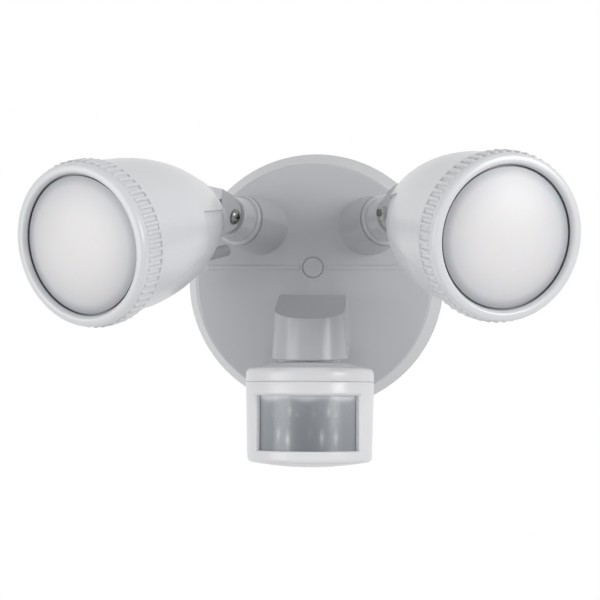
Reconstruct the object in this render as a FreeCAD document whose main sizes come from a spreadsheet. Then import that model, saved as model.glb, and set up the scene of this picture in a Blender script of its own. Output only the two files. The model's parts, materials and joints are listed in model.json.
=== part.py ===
import FreeCAD, Part

import math
import os

import Sketcher
from FreeCAD import Placement, Rotation, Vector

# Twin-head motion sensor security light. The wall is the plane y = 0, the light stands out of it
# towards -y, +z is up and +x is right as a visitor sees it. The origin is the centre of the canopy.

SIZES = [
    # canopy
    ("rim_radius", 70.0, "canopy at the wall"),
    ("face_radius", 63.7, "canopy where the skirt meets the face"),
    ("skirt_depth", 26.5, "wall to the edge of the face"),
    ("face_rise", 6.0, "crown of the domed face"),
    ("edge_round", 2.2, "rounding between skirt and face"),
    ("canopy_wall", 2.5, "thickness of the canopy"),
    ("gasket_thick", 1.6, "foam gasket, squeezed"),
    ("gasket_width", 5.0, "foam gasket, across its ring"),
    ("bead_height", 0.8, "raised line across the face"),
    ("bead_width", 2.2, "raised line across the face"),
    ("bead_reach", 57.0, "end of the raised line"),
    ("bead_gap", 7.0, "raised line stops short of the plug's middle"),
    ("plug_height", 7.9, "fixing screw above the canopy centre"),
    ("plug_radius", 5.2, "snap plug over the fixing screw"),
    ("plug_gap", 0.35, "dark ring round the plug"),
    ("plug_depth", 0.8, "plug below the face"),
    # lamp bosses on the canopy and the swivelling arms
    ("boss_side", 31.3, "boss from the canopy's middle"),
    ("boss_up", 30.3, "boss above the canopy centre"),
    ("boss_out", 30.5, "boss foot from the wall"),
    ("boss_outward", 26.0, "degrees the boss leans outwards"),
    ("boss_upward", 8.6, "degrees the boss leans upwards"),
    ("boss_foot_radius", 15.3, "boss at its foot"),
    ("boss_top_radius", 13.7, "boss at its rim"),
    ("boss_height", 14.5, "boss foot to rim"),
    ("boss_sink", 11.5, "boss inside the canopy"),
    ("pivot_reach", 34.5, "boss foot to knuckle screw"),
    ("stem_radius", 10.0, "arm inside the boss"),
    ("running_gap", 0.1, "radial clearance of turning fits"),
    ("seal_thick", 0.8, "seal rings"),
    ("collar_radius", 13.4, "arm collar on the boss"),
    ("collar_thick", 2.6, "arm collar"),
    ("barrel_foot_radius", 11.8, "arm barrel at the collar"),
    ("barrel_top_radius", 10.4, "arm barrel at its end"),
    ("barrel_length", 8.5, "collar to the barrel's end"),
    ("tongue_thick", 8.0, "flat tongue of the knuckle"),
    ("tongue_radius", 8.4, "end of the tongue"),
    ("lead_bore_radius", 3.6, "way for the lamp leads"),
    ("nut_radius", 14.0, "arm lock nut"),
    ("nut_thick", 4.0, "arm lock nut"),
    # knuckle
    ("washer_thick", 0.4, "friction washers"),
    ("washer_radius", 6.0, "friction washers"),
    ("ear_thick", 4.6, "each ear of the tilt bracket"),
    ("ear_nose", 5.7, "ear beyond the screw"),
    ("ear_nose_top", 8.7, "ear above the screw"),
    ("ear_nose_bottom", 6.7, "ear below the screw"),
    ("ear_shoulder", 11.3, "top of the ear where its end rounds off"),
    ("ear_shoulder_place", 2.0, "screw to the ear's shoulder"),
    ("ear_foot_top", 15.9, "top of the ear at the head"),
    ("ear_foot_bottom", 9.4, "bottom of the ear at the head"),
    ("cheek_foot", 10.9, "foot of the cheeks that carry the ears' line onto the shell"),
    ("cheek_top", 19.2, "top of the cheeks at the shell's shoulder"),
    ("cheek_short", 2.6, "cheeks end this much before the shoulder"),
    ("cheek_gap", 0.1, "between the ears and the cheeks"),
    ("screw_radius", 2.0, "knuckle screw shank"),
    ("screw_head_radius", 3.8, "pan head"),
    ("screw_head_height", 2.6, "pan head"),
    ("screw_fit", 0.15, "clearance round the screw"),
    ("hex_radius", 4.0, "nut across corners, half"),
    ("hex_thick", 3.0, "knuckle nut"),
    # lamp heads, measured from the knuckle screw along the head
    ("head_yaw_left", 29.4, "degrees the left head points outwards"),
    ("head_drop_left", 9.2, "degrees the left head points down"),
    ("head_yaw_right", 25.6, "degrees the right head points outwards"),
    ("head_drop_right", 7.5, "degrees the right head points down"),
    ("bracket_start", 8.6, "screw to the bracket's disc"),
    ("bracket_disc", 3.4, "thickness of the bracket's disc"),
    ("bracket_radius", 10.6, "bracket disc"),
    ("bracket_spigot", 7.0, "bracket spigot through the shell"),
    ("head_wall", 3.0, "thickness of the head shell"),
    ("shell_rear_radius", 12.2, "flat rear of the shell"),
    ("shell_waist", 28.0, "screw to the shell's shoulder"),
    ("shell_waist_radius", 22.4, "shell behind its shoulder"),
    ("shoulder_radius", 22.9, "rear edge of the flange round the shoulder"),
    ("flange_length", 2.8, "flange round the shoulder"),
    ("flange_rise", 0.8, "growth of the flange to its front"),
    ("flange_groove", 0.5, "groove in front of the flange"),
    ("shell_body_radius", 24.3, "shell in front of that groove"),
    ("shell_full", 75.0, "screw to where the shell is full"),
    ("shell_full_radius", 36.3, "shell where it is full"),
    ("shell_front", 96.6, "screw to the front seam"),
    ("shell_front_radius", 37.2, "shell at the front seam"),
    ("rear_bulge", 80.0, "radius of the curve behind the shoulder"),
    ("side_bulge", 112.0, "radius of the curve along the side"),
    ("heel_depth_rear", 1.9, "lower rear of the shell set back, at its shoulder"),
    ("heel_depth_front", 0.9, "lower rear of the shell set back, at its front"),
    ("heel_ledge_rear", 6.8, "ledge above the axis, at the rear"),
    ("heel_ledge_front", 14.2, "ledge above the axis, at its front end"),
    ("heel_front", 57.0, "screw to the front of the set back part"),
    ("heel_bend", 5.0, "below the axis, where its front edge turns forwards"),
    ("heel_slope_end", 88.0, "screw to the front edge's lower end"),
    ("heel_slope_drop", 17.0, "that end below the axis"),
    ("spigot_radius", 34.6, "threaded spigot for the bezel"),
    ("spigot_length", 8.0, "threaded spigot for the bezel"),
    ("inner_radius", 32.3, "bore of the shell's front"),
    ("ledge_place", 80.0, "screw to the heat sink ledge"),
    ("bezel_band_radius", 37.2, "bezel between the ribs"),
    ("rib_count", 60, "grip ribs round the bezel"),
    ("rib_width", 1.9, "grip rib"),
    ("rib_height", 1.6, "grip rib"),
    ("rib_length", 9.6, "grip rib"),
    ("rib_start", 0.7, "seam to the ribs"),
    ("lip_radius", 37.7, "outside of the bezel lip"),
    ("lip_round", 3.4, "rounding of the bezel lip"),
    ("lens_place", 109.0, "screw to the lip's inner edge"),
    ("lens_opening", 32.5, "visible radius of the lens"),
    ("lens_seat", 33.9, "radius of the lens in its seat"),
    ("lens_edge", 2.4, "thickness at the lens edge"),
    ("lens_crown", 3.2, "crown of the lens"),
    ("lens_gasket", 1.0, "gasket behind the lens"),
    ("sink_plate", 3.0, "plate of the heat sink"),
    ("sink_core_radius", 11.0, "core of the heat sink"),
    ("sink_core_length", 24.0, "core of the heat sink"),
    ("sink_fin_count", 10, "fins of the heat sink"),
    ("sink_fin_reach", 25.0, "radius of the fins"),
    ("board_radius", 28.5, "round lamp board"),
    ("board_thick", 1.6, "circuit boards"),
    ("chip_size", 3.0, "square lamp chip"),
    ("chip_height", 0.8, "lamp chip"),
    ("chip_ring", 13.0, "ring of lamp chips"),
    ("chip_count", 10, "lamp chips on the ring"),
    ("reflector_foot", 25.5, "reflector at the board"),
    ("reflector_wall", 1.2, "reflector"),
    ("grommet_radius", 2.9, "lead grommet"),
    ("grommet_length", 18.5, "lead grommet"),
    ("grommet_hole", 1.7, "way for the leads in the grommet"),
    ("grommet_mouth", 3.0, "depth of that way"),
    ("grommet_side", 11.3, "grommet beside the axis"),
    ("grommet_drop", 15.8, "grommet below the axis"),
    ("grommet_start", 8.5, "screw to the grommet's end"),
    ("small_round", 0.5, "small bevels and roundings"),
    ("cavity_corner", 1.2, "corner of the cavity inside the shell's rear edge"),
    ("cut_margin", 1.0, "cutting tools reach past the surface"),
    # neck and sensor, the sensor measured from the centre of its ball
    ("neck_out", 60.4, "ball centre from the wall"),
    ("ball_drop", 34.0, "ball centre below the canopy centre"),
    ("neck_radius", 19.6, "neck at its bottom"),
    ("neck_lip", 4.5, "neck below the ball centre"),
    ("neck_draft", 3.6, "degrees of draft on the neck"),
    ("neck_top_back", 5.6, "neck roof at the face, below the centre"),
    ("neck_top_front", 17.8, "neck roof in front, below the centre"),
    ("arch_half", 15.0, "half width of the arch in the neck's lip"),
    ("arch_rise", 3.0, "height of the arch"),
    ("lip_rear_rise", 9.0, "neck's lip raised behind"),
    ("ball_radius", 17.0, "swivel ball"),
    ("ball_gap", 0.3, "round the ball in its socket"),
    ("ball_flat", 6.9, "ball centre to its flat underside"),
    ("ball_top", 12.0, "ball centre to its flat top"),
    ("ball_bore", 6.0, "way for the sensor leads"),
    ("stud_radius", 9.0, "ball stud through the cap"),
    ("sensor_tilt", 5.0, "degrees the sensor looks up"),
    ("sensor_radius", 32.7, "sensor round its front"),
    ("sensor_back", 22.0, "sensor axis to its back"),
    ("sensor_wall", 2.6, "thickness of the sensor's shells"),
    ("collar_disc_radius", 21.0, "raised disc on the sensor cap"),
    ("disc_top", 6.6, "ball centre to the disc's top"),
    ("disc_foot", 7.6, "ball centre to the disc's foot"),
    ("cap_shoulder", 9.4, "ball centre to the cap's shoulder"),
    ("cap_round", 2.0, "rounding of the cap's shoulder"),
    ("seam_place", 16.6, "ball centre to the sensor seam"),
    ("seam_groove", 0.5, "groove at the seam"),
    ("window_top", 23.6, "ball centre to the window"),
    ("window_bottom", 51.0, "ball centre to the window's foot"),
    ("window_half", 54.5, "degrees of window each side"),
    ("window_bevel", 2.2, "bevel round the window"),
    ("sensor_edge", 56.6, "ball centre to the bottom edge"),
    ("sensor_crown", 3.4, "crown of the sensor's bottom"),
    ("sensor_draft", 1.3, "degrees of draft on the housing"),
    ("sensor_inner", 29.4, "inner radius of the housing"),
    ("lens_sheet", 0.9, "sensor lens"),
    ("knob_radius", 4.6, "setting knobs"),
    ("knob_gap", 0.4, "round the knobs"),
    ("knob_side", 11.0, "knobs from the middle"),
    ("knob_back", 3.2, "knobs behind the sensor axis"),
    ("knob_thick", 2.6, "knob head in its well"),
    ("knob_stem", 2.4, "knob stem"),
    # wall fixing and driver
    ("bar_length", 104.0, "mounting bar"),
    ("bar_width", 22.0, "mounting bar"),
    ("bar_thick", 1.8, "mounting bar"),
    ("bar_raise", 5.0, "raised middle of the bar"),
    ("bar_raise_half", 24.0, "half length of the raised middle"),
    ("slot_spacing", 79.4, "between the slots' centres"),
    ("slot_half_width", 2.4, "junction box screw slots"),
    ("slot_length", 14.3, "junction box screw slots"),
    ("bolt_radius", 2.4, "fixing bolt"),
    ("bolt_head_radius", 4.2, "fixing bolt"),
    ("driver_width", 64.0, "lamp driver"),
    ("driver_height", 30.0, "lamp driver"),
    ("driver_depth", 15.0, "lamp driver"),
    ("driver_drop", 30.0, "driver below the centre"),
    ("pad_inset", 8.0, "driver pads from the driver's ends"),
    ("pad_half", 5.0, "half width of the driver pads"),
    ("pad_gap", 0.1, "pads under the canopy's face"),
]


class Size:
    """A number of the sheet, or arithmetic on such numbers, with the text that binds a property to it."""

    def __init__(self, value, text):
        self.value = float(value)
        self.text = text

    def __add__(self, other):
        other = as_size(other)
        return Size(self.value + other.value, f"({self.text} + {other.text})")

    def __sub__(self, other):
        other = as_size(other)
        return Size(self.value - other.value, f"({self.text} - {other.text})")

    def __mul__(self, other):
        other = as_size(other)
        return Size(self.value * other.value, f"({self.text} * {other.text})")

    def __truediv__(self, other):
        other = as_size(other)
        return Size(self.value / other.value, f"({self.text} / {other.text})")

    def __neg__(self):
        return Size(-self.value, f"(0 - {self.text})")

    def __radd__(self, other):
        return as_size(other) + self

    def __rsub__(self, other):
        return as_size(other) - self

    def __rmul__(self, other):
        return as_size(other) * self


def as_size(number):
    return number if isinstance(number, Size) else Size(number, repr(float(number)))


class Sheet:
    """The driving dimensions, one row each: word, value, note."""

    def __init__(self, document):
        self.cells = document.addObject("Spreadsheet::Sheet", "Dims")
        self.sizes = {}
        for row, (word, value, note) in enumerate(SIZES, start=1):
            self.cells.set(f"A{row}", word)
            self.cells.set(f"B{row}", str(value))
            self.cells.set(f"C{row}", note)
            self.cells.setAlias(f"B{row}", word)
            self.sizes[word] = Size(value, f"Dims.{word}")

    def __getattr__(self, word):
        return self.sizes[word]


doc = FreeCAD.newDocument("security_light")
dim = Sheet(doc)
doc.recompute()
NODES = []


# ---- drawing and shaping helpers -------------------------------------------------------------


def bind(thing, prop, size):
    """Sets a property now and ties it to the sheet."""
    size = as_size(size)
    now = getattr(thing, prop)
    setattr(thing, prop, int(size.value) if isinstance(now, int) else size.value)
    thing.setExpression(prop, size.text)


def sketch_on(body, name, plane, start=0.0):
    """A sketch on one of the body's own planes, raised along the plane's normal."""
    sketch = body.newObject("Sketcher::SketchObject", name)
    base = [p for p in body.Origin.OriginFeatures if p.Role == plane][0]
    sketch.AttachmentSupport = (base, [""])
    sketch.MapMode = "FlatFace"
    start = as_size(start)
    sketch.AttachmentOffset = Placement(Vector(0, 0, start.value), Rotation())
    sketch.setExpression("AttachmentOffset.Base.z", start.text)
    return sketch


def arc_through(a, b, radius, side):
    """The arc of this radius from a to b that bulges to the left (+1) or right (-1) of the way."""
    chord = b - a
    half = chord.Length / 2
    sag = radius - math.sqrt(max(radius**2 - half**2, 0.0))
    left = Vector(-chord.y, chord.x, 0).normalize()
    return Part.Arc(a, (a + b) / 2 + left * sag * side, b)


def outline(sketch, points):
    """A closed outline. A point (x, y) is reached by a line, (x, y, radius, side) by an arc."""
    first = sketch.GeometryCount
    spots = [Vector(as_size(p[0]).value, as_size(p[1]).value, 0) for p in points]
    count = len(points)
    for i in range(count):
        a, b, to = spots[i], spots[(i + 1) % count], points[(i + 1) % count]
        if len(to) == 4:
            sketch.addGeometry(arc_through(a, b, as_size(to[2]).value, to[3]))
        else:
            sketch.addGeometry(Part.LineSegment(a, b))
    ends = []
    for i in range(count):
        to = points[(i + 1) % count]
        flipped = len(to) == 4 and to[3] > 0
        ends.append((2, 1) if flipped else (1, 2))
    for i in range(count):
        j = (i + 1) % count
        sketch.addConstraint(Sketcher.Constraint("Coincident", first + i, ends[i][1], first + j, ends[j][0]))
    for i, point in enumerate(points):
        for kind, size in (("DistanceX", as_size(point[0])), ("DistanceY", as_size(point[1]))):
            rule = Sketcher.Constraint(kind, -1, 1, first + i, ends[i][0], size.value)
            tie(sketch, rule, size)
    for i in range(count):
        to = points[(i + 1) % count]
        if len(to) == 4:
            size = as_size(to[2])
            tie(sketch, Sketcher.Constraint("Radius", first + i, size.value), size)


def tie(sketch, rule, size):
    number = sketch.addConstraint(rule)
    sketch.setExpression(f"Constraints[{number}]", size.text)


def circle(sketch, x, y, radius):
    x, y, radius = as_size(x), as_size(y), as_size(radius)
    number = sketch.GeometryCount
    sketch.addGeometry(Part.Circle(Vector(x.value, y.value, 0), Vector(0, 0, 1), radius.value))
    tie(sketch, Sketcher.Constraint("DistanceX", -1, 1, number, 3, x.value), x)
    tie(sketch, Sketcher.Constraint("DistanceY", -1, 1, number, 3, y.value), y)
    tie(sketch, Sketcher.Constraint("Radius", number, radius.value), radius)


def new_body(name, place=None):
    body = doc.addObject("PartDesign::Body", name)
    body.Label = name
    if place is not None:
        body.Placement = place
    return body


def revolve(body, name, points, cut=False, angle=360.0):
    """Turns an outline of (radius, height) about the body's own Z axis."""
    sketch = sketch_on(body, name + "_outline", "XZ_Plane")
    outline(sketch, points)
    kind = "PartDesign::Groove" if cut else "PartDesign::Revolution"
    turn = body.newObject(kind, name)
    turn.Profile = sketch
    turn.ReferenceAxis = (sketch, ["V_Axis"])
    bind(turn, "Angle", angle)
    return turn


def extrude(body, name, draw, plane, start, length, cut=False, draft=None):
    """Pads or pockets a drawn outline from start along the plane's normal."""
    sketch = sketch_on(body, name + "_outline", plane, start)
    draw(sketch)
    feature = body.newObject("PartDesign::Pocket" if cut else "PartDesign::Pad", name)
    feature.Profile = sketch
    bind(feature, "Length", length)
    feature.Reversed = cut
    if draft is not None:
        bind(feature, "TaperAngle", draft)
    return feature


def around(body, name, features, count):
    """Repeats features round the body's Z axis."""
    ring = body.newObject("PartDesign::PolarPattern", name)
    ring.Originals = features
    axis = [p for p in body.Origin.OriginFeatures if p.Role == "Z_Axis"][0]
    ring.Axis = (axis, [""])
    ring.Angle = 360
    bind(ring, "Occurrences", count)
    body.Tip = ring
    return ring


def lathe(name, points, place):
    """A whole sub-part turned from one outline."""
    body = new_body(name, place)
    revolve(body, name + "_turned", points)
    return keep(body)


def ring_outline(inner, outer, low, high):
    return [(inner, low), (outer, low), (outer, high), (inner, high)]


def disc_outline(outer, low, high):
    return ring_outline(0.0, outer, low, high)


def boolean(kind, name, base, tool, place=None):
    result = doc.addObject("Part::" + kind, name)
    result.Base = base
    result.Tool = tool
    result.Label = name
    if place is not None:
        result.Placement = place
    return result


def carve(name, base, tools):
    """Cuts the tools out of the base one after another."""
    for number, tool in enumerate(tools, start=1):
        base = boolean("Cut", name if number == len(tools) else f"{name}_cut_{number}", base, tool)
    return base


def keep(thing):
    NODES.append(thing)
    return thing


def direction(outward, upward, side):
    """Unit vector off the wall, leaning outwards and upwards by so many degrees."""
    out, up = math.radians(outward), math.radians(upward)
    return Vector(side * math.sin(out) * math.cos(up), -math.cos(out) * math.cos(up), math.sin(up))


def frame_at(origin, x_axis, z_axis):
    """A placement with these axes, the x axis made square to the z axis."""
    z_axis = Vector(z_axis).normalize()
    y_axis = z_axis.cross(x_axis).normalize()
    x_axis = y_axis.cross(z_axis)
    turn = FreeCAD.Matrix(
        x_axis.x, y_axis.x, z_axis.x, 0,
        x_axis.y, y_axis.y, z_axis.y, 0,
        x_axis.z, y_axis.z, z_axis.z, 0,
        0, 0, 0, 1,
    )  # fmt: skip
    return Placement(Vector(origin), Rotation(turn))


# ---- places ----------------------------------------------------------------------------------

# out of the wall: the local z axis points at the visitor and the local y axis up
OFF_WALL = frame_at(Vector(0, 0, 0), Vector(1, 0, 0), Vector(0, -1, 0))
PLUG_PLACE = frame_at(Vector(0, 0, dim.plug_height.value), Vector(1, 0, 0), Vector(0, -1, 0))


def boss_frame(side):
    """Boss foot, local z along the boss."""
    foot = Vector(side * dim.boss_side.value, -dim.boss_out.value, dim.boss_up.value)
    along = direction(dim.boss_outward.value, dim.boss_upward.value, side)
    return frame_at(foot, Vector(1, 0, 0), along)


def knuckle(side):
    """Knuckle screw centre, screw direction, boss direction and head direction."""
    along = direction(dim.boss_outward.value, dim.boss_upward.value, side)
    yaw = dim.head_yaw_left if side < 0 else dim.head_yaw_right
    drop = dim.head_drop_left if side < 0 else dim.head_drop_right
    ahead = direction(yaw.value, -drop.value, side)
    screw = ahead.cross(along).normalize()
    if screw.x < 0:
        screw = -screw
    centre = boss_frame(side).Base + along * dim.pivot_reach.value
    return centre, screw, along, ahead


def arm_frame(side):
    centre, screw, along, ahead = knuckle(side)
    return frame_at(centre, screw, along)


def head_frame(side):
    centre, screw, along, ahead = knuckle(side)
    return frame_at(centre, screw, ahead)


def ball_centre():
    return Vector(0, -dim.neck_out.value, -dim.ball_drop.value)


def sensor_frame():
    """Ball centre, local z up the sensor's axis, local -y the way the sensor looks."""
    lean = math.radians(dim.sensor_tilt.value)
    return frame_at(ball_centre(), Vector(1, 0, 0), Vector(0, math.sin(lean), math.cos(lean)))


# ---- canopy ----------------------------------------------------------------------------------


def arc_radius(half_chord, rise):
    return (half_chord * half_chord + rise * rise) / (2 * rise)


def canopy_outline():
    flat = dim.face_radius - dim.edge_round
    inner = flat - dim.canopy_wall
    top = dim.skirt_depth + dim.face_rise
    return [
        (dim.rim_radius - dim.canopy_wall, dim.gasket_thick),
        (dim.rim_radius, dim.gasket_thick),
        (dim.face_radius, dim.skirt_depth - dim.edge_round),
        (flat, dim.skirt_depth, dim.edge_round, -1),
        (0.0, top, arc_radius(flat, dim.face_rise), -1),
        (0.0, top - dim.canopy_wall),
        (inner, dim.skirt_depth - dim.canopy_wall, arc_radius(inner, dim.face_rise), 1),
    ]


def face_height(radius):
    """Outside of the domed face at this distance from the centre."""
    flat = dim.face_radius.value - dim.edge_round.value
    ball = (flat**2 + dim.face_rise.value**2) / (2 * dim.face_rise.value)
    return dim.skirt_depth.value + dim.face_rise.value - ball + math.sqrt(ball**2 - radius**2)


def make_canopy():
    blank = new_body("canopy_blank", OFF_WALL)
    revolve(blank, "canopy_turned", canopy_outline())

    bead = new_body("canopy_bead", PLUG_PLACE)
    bead_outline = face_band(dim.bead_height)
    extrude(
        bead, "bead_bar", lambda s: outline(s, bead_outline), "XZ_Plane", -dim.bead_width / 2, dim.bead_width
    )
    gap, wide = dim.bead_gap, dim.bead_width
    break_outline = [(-gap, -wide), (gap, -wide), (gap, wide), (-gap, wide)]
    deep = dim.skirt_depth + dim.face_rise - dim.canopy_wall / 2
    extrude(bead, "bead_break", lambda s: outline(s, break_outline), "XY_Plane", deep, dim.canopy_wall * 2, cut=True)
    pieces = [blank, bead, make_neck_blank()]
    for side, word in ((-1, "left"), (1, "right")):
        pieces.append(boss_cone(side, word))
    whole = doc.addObject("Part::MultiFuse", "canopy_joined")
    whole.Shapes = pieces

    bores = [boss_bore(side, word) for side, word in ((-1, "left"), (1, "right"))]
    return keep(carve("canopy_shell", whole, bores + [ball_socket(), neck_way(), plug_hole()]))


def face_band(height):
    """Side view, in the plane of the bead, of a strip that stands this high out of the domed face."""
    flat = dim.face_radius - dim.edge_round
    ball = arc_radius(flat, dim.face_rise)
    top = dim.skirt_depth + dim.face_rise
    reach = dim.bead_reach
    drop = Size(top.value - face_height(reach.value), f"({ball.text} - sqrt({ball.text}^2 - {reach.text}^2))")
    low = top - drop
    sunk = dim.canopy_wall / 2
    return [
        (-reach, low - sunk),
        (reach, low - sunk, ball - sunk, 1),
        (reach, low + height / 4),
        (-reach, low + height / 4, ball + height, -1),
    ]


def boss_cone(side, word):
    cone = doc.addObject("Part::Cone", f"{word}_boss")
    slope = (dim.boss_foot_radius - dim.boss_top_radius) / dim.boss_height
    bind(cone, "Radius1", dim.boss_foot_radius + slope * dim.boss_sink)
    bind(cone, "Radius2", dim.boss_top_radius)
    bind(cone, "Height", dim.boss_height + dim.boss_sink)
    cone.Placement = boss_frame(side) * Placement(Vector(0, 0, -dim.boss_sink.value), Rotation())
    return cone


def boss_bore(side, word):
    bore = doc.addObject("Part::Cylinder", f"{word}_boss_bore")
    bind(bore, "Radius", dim.stem_radius + dim.running_gap)
    bind(bore, "Height", dim.boss_height + 2 * dim.boss_sink)
    below = -1.5 * dim.boss_sink.value
    bore.Placement = boss_frame(side) * Placement(Vector(0, 0, below), Rotation())
    return bore


def plug_hole():
    hole = new_body("plug_hole", PLUG_PLACE)
    top = dim.skirt_depth + dim.face_rise
    deep = top - dim.canopy_wall * 2
    revolve(
        hole,
        "plug_hole_turned",
        disc_outline(dim.plug_radius + dim.plug_gap, deep, top + dim.canopy_wall),
    )
    return hole


def make_neck_blank():
    """The hood under the face that carries the sensor: a U in plan, with draft and a sloping roof."""
    neck = new_body("neck_blank", Placement(Vector(0, 0, -dim.ball_drop.value - dim.neck_lip.value), Rotation()))
    radius, axis = dim.neck_radius, -dim.neck_out
    back = -(dim.skirt_depth + dim.face_rise / 2 - dim.canopy_wall)

    def plan(sketch):
        outline(
            sketch,
            [
                (-radius, axis),
                (0.0, axis - radius, radius, -1),
                (radius, axis, radius, -1),
                (radius, back),
                (-radius, back),
            ],
        )

    height = dim.ball_drop + dim.neck_lip
    extrude(neck, "neck_pad", plan, "XY_Plane", 0.0, height, draft=-dim.neck_draft)
    wide = radius + radius
    front = axis - radius
    high = height - dim.neck_top_back
    low = height - dim.neck_top_front

    def roof(sketch):
        outline(sketch, [(front, low), (back, high), (back, height + radius), (front, height + radius)])

    extrude(neck, "neck_roof", roof, "YZ_Plane", -wide / 2 - radius, wide * 2, cut=True)

    def arch(sketch):
        half, rise = dim.arch_half, dim.arch_rise
        outline(sketch, [(-half, -rise), (half, -rise), (half, 0.0), (-half, 0.0, arc_radius(half, rise), 1)])

    extrude(neck, "neck_arch", arch, "XZ_Plane", dim.neck_out, radius * 2, cut=True)

    def rear(sketch):
        outline(sketch, [(axis, 0.0), (axis, -radius), (back + radius, -radius), (back + radius, dim.lip_rear_rise)])

    extrude(neck, "neck_rear", rear, "YZ_Plane", -radius * 2, radius * 4, cut=True)
    return neck


def ball_socket():
    socket = doc.addObject("Part::Sphere", "ball_socket")
    bind(socket, "Radius", dim.ball_radius + dim.ball_gap)
    socket.Placement = Placement(ball_centre(), Rotation())
    return socket


def neck_way():
    """Lead way from the socket back into the canopy."""
    way = doc.addObject("Part::Cylinder", "neck_way")
    bind(way, "Radius", dim.ball_bore)
    bind(way, "Height", dim.neck_out)
    above = -dim.ball_drop.value + dim.ball_bore.value
    way.Placement = frame_at(Vector(0, -dim.neck_out.value, above), Vector(1, 0, 0), Vector(0, 1, 0))
    return way


def make_canopy_fittings():
    rim = dim.rim_radius
    lathe(
        "canopy_gasket",
        ring_outline(rim - dim.gasket_width, rim - 0.4, 0.0, dim.gasket_thick),
        OFF_WALL,
    )
    top = dim.skirt_depth + dim.face_rise
    face = top - dim.plug_depth
    lathe(
        "bolt_plug",
        [
            (0.0, face - 2.6),
            (dim.plug_radius - 1.2, face - 2.6),
            (dim.plug_radius - 1.2, face - 1.6),
            (dim.plug_radius, face - 1.6),
            (dim.plug_radius, face - 0.3),
            (dim.plug_radius - 0.3, face),
            (0.0, face),
        ],
        PLUG_PLACE,
    )


# ---- wall fixing and driver ------------------------------------------------------------------


def make_wall_fixing():
    bar = new_body("mounting_bracket", PLUG_PLACE)
    half, wide, thick, step = dim.bar_length / 2, dim.bar_width, dim.bar_thick, dim.bar_raise
    raised = dim.bar_raise_half
    ramp = raised + step

    def side_view(sketch):
        outline(
            sketch,
            [
                (-half, 0.0), (-ramp, 0.0), (-raised, step), (raised, step), (ramp, 0.0), (half, 0.0),
                (half, thick), (ramp + thick / 2, thick), (raised + thick / 2, step + thick),
                (-raised - thick / 2, step + thick), (-ramp - thick / 2, thick), (-half, thick),
            ],
        )  # fmt: skip

    extrude(bar, "bar_strip", side_view, "XZ_Plane", -wide / 2, wide)

    def slots(sketch):
        for side in (-1, 1):
            slot(sketch, side * dim.slot_spacing / 2)

    extrude(bar, "bar_slots", slots, "XY_Plane", -thick, thick * 3, cut=True)

    def holes(sketch):
        circle(sketch, 0.0, 0.0, dim.bolt_radius - 0.3)
        circle(sketch, raised * 0.7, 0.0, dim.bolt_radius - 0.3)

    extrude(bar, "bar_holes", holes, "XY_Plane", step - thick, thick * 3, cut=True)
    keep(bar)

    seat = dim.bar_raise + dim.bar_thick
    head = dim.skirt_depth + dim.face_rise - 2 * dim.canopy_wall - 1.2
    shank = dim.bolt_radius - 0.3
    lathe(
        "mounting_bolt",
        [
            (0.0, dim.bar_raise - 2.0),
            (shank, dim.bar_raise - 2.0),
            (shank, head),
            (dim.bolt_head_radius, head),
            (dim.bolt_head_radius, head + 1.4),
            (dim.bolt_head_radius - 1.2, head + 2.4),
            (0.0, head + 2.4),
        ],
        PLUG_PLACE,
    )
    ground = PLUG_PLACE * Placement(Vector(dim.bar_raise_half.value * 0.7, 0, 0), Rotation())
    lathe(
        "ground_screw",
        [
            (0.0, dim.bar_raise - 2.0),
            (shank, dim.bar_raise - 2.0),
            (shank, seat),
            (dim.bolt_head_radius, seat),
            (dim.bolt_head_radius, seat + 1.6),
            (dim.bolt_head_radius - 1.0, seat + 2.4),
            (0.0, seat + 2.4),
        ],
        ground,
    )


def slot(sketch, middle):
    """A slot along x with round ends."""
    r = dim.slot_half_width
    straight = dim.slot_length / 2 - r
    left, right = middle - straight, middle + straight
    outline(
        sketch,
        [
            (left, -r, r, -1),
            (right, -r),
            (right + r, 0.0, r, -1),
            (right, r, r, -1),
            (left, r),
            (left - r, 0.0, r, -1),
        ],
    )


def make_driver():
    """Lamp driver can on the back of the face, held by its two lugs."""
    can = new_body("lamp_driver", OFF_WALL)
    half = dim.driver_width / 2
    mid, tall = -dim.driver_drop, dim.driver_height / 2
    top = dim.skirt_depth - dim.canopy_wall - 0.4
    low = top - dim.driver_depth

    def box(sketch):
        outline(sketch, [(-half, mid - tall), (half, mid - tall), (half, mid + tall), (-half, mid + tall)])

    extrude(can, "driver_can", box, "XY_Plane", low, dim.driver_depth)
    keep(can)
    for place, word in ((-1, "left"), (1, "right")):
        pad = new_body(f"{word}_driver_pad", OFF_WALL)
        side, soft = place * (half - dim.pad_inset), dim.pad_half
        far = math.hypot(half.value - dim.pad_inset.value + dim.pad_half.value, dim.driver_drop.value + dim.pad_half.value)
        rise = face_height(far) - dim.canopy_wall.value

        def square(sketch):
            outline(
                sketch,
                [(side - soft, mid - soft), (side + soft, mid - soft), (side + soft, mid + soft), (side - soft, mid + soft)],
            )

        extrude(pad, f"{word}_pad_foam", square, "XY_Plane", top, rise - top.value - dim.pad_gap)
        keep(pad)


# ---- arms ------------------------------------------------------------------------------------


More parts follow.
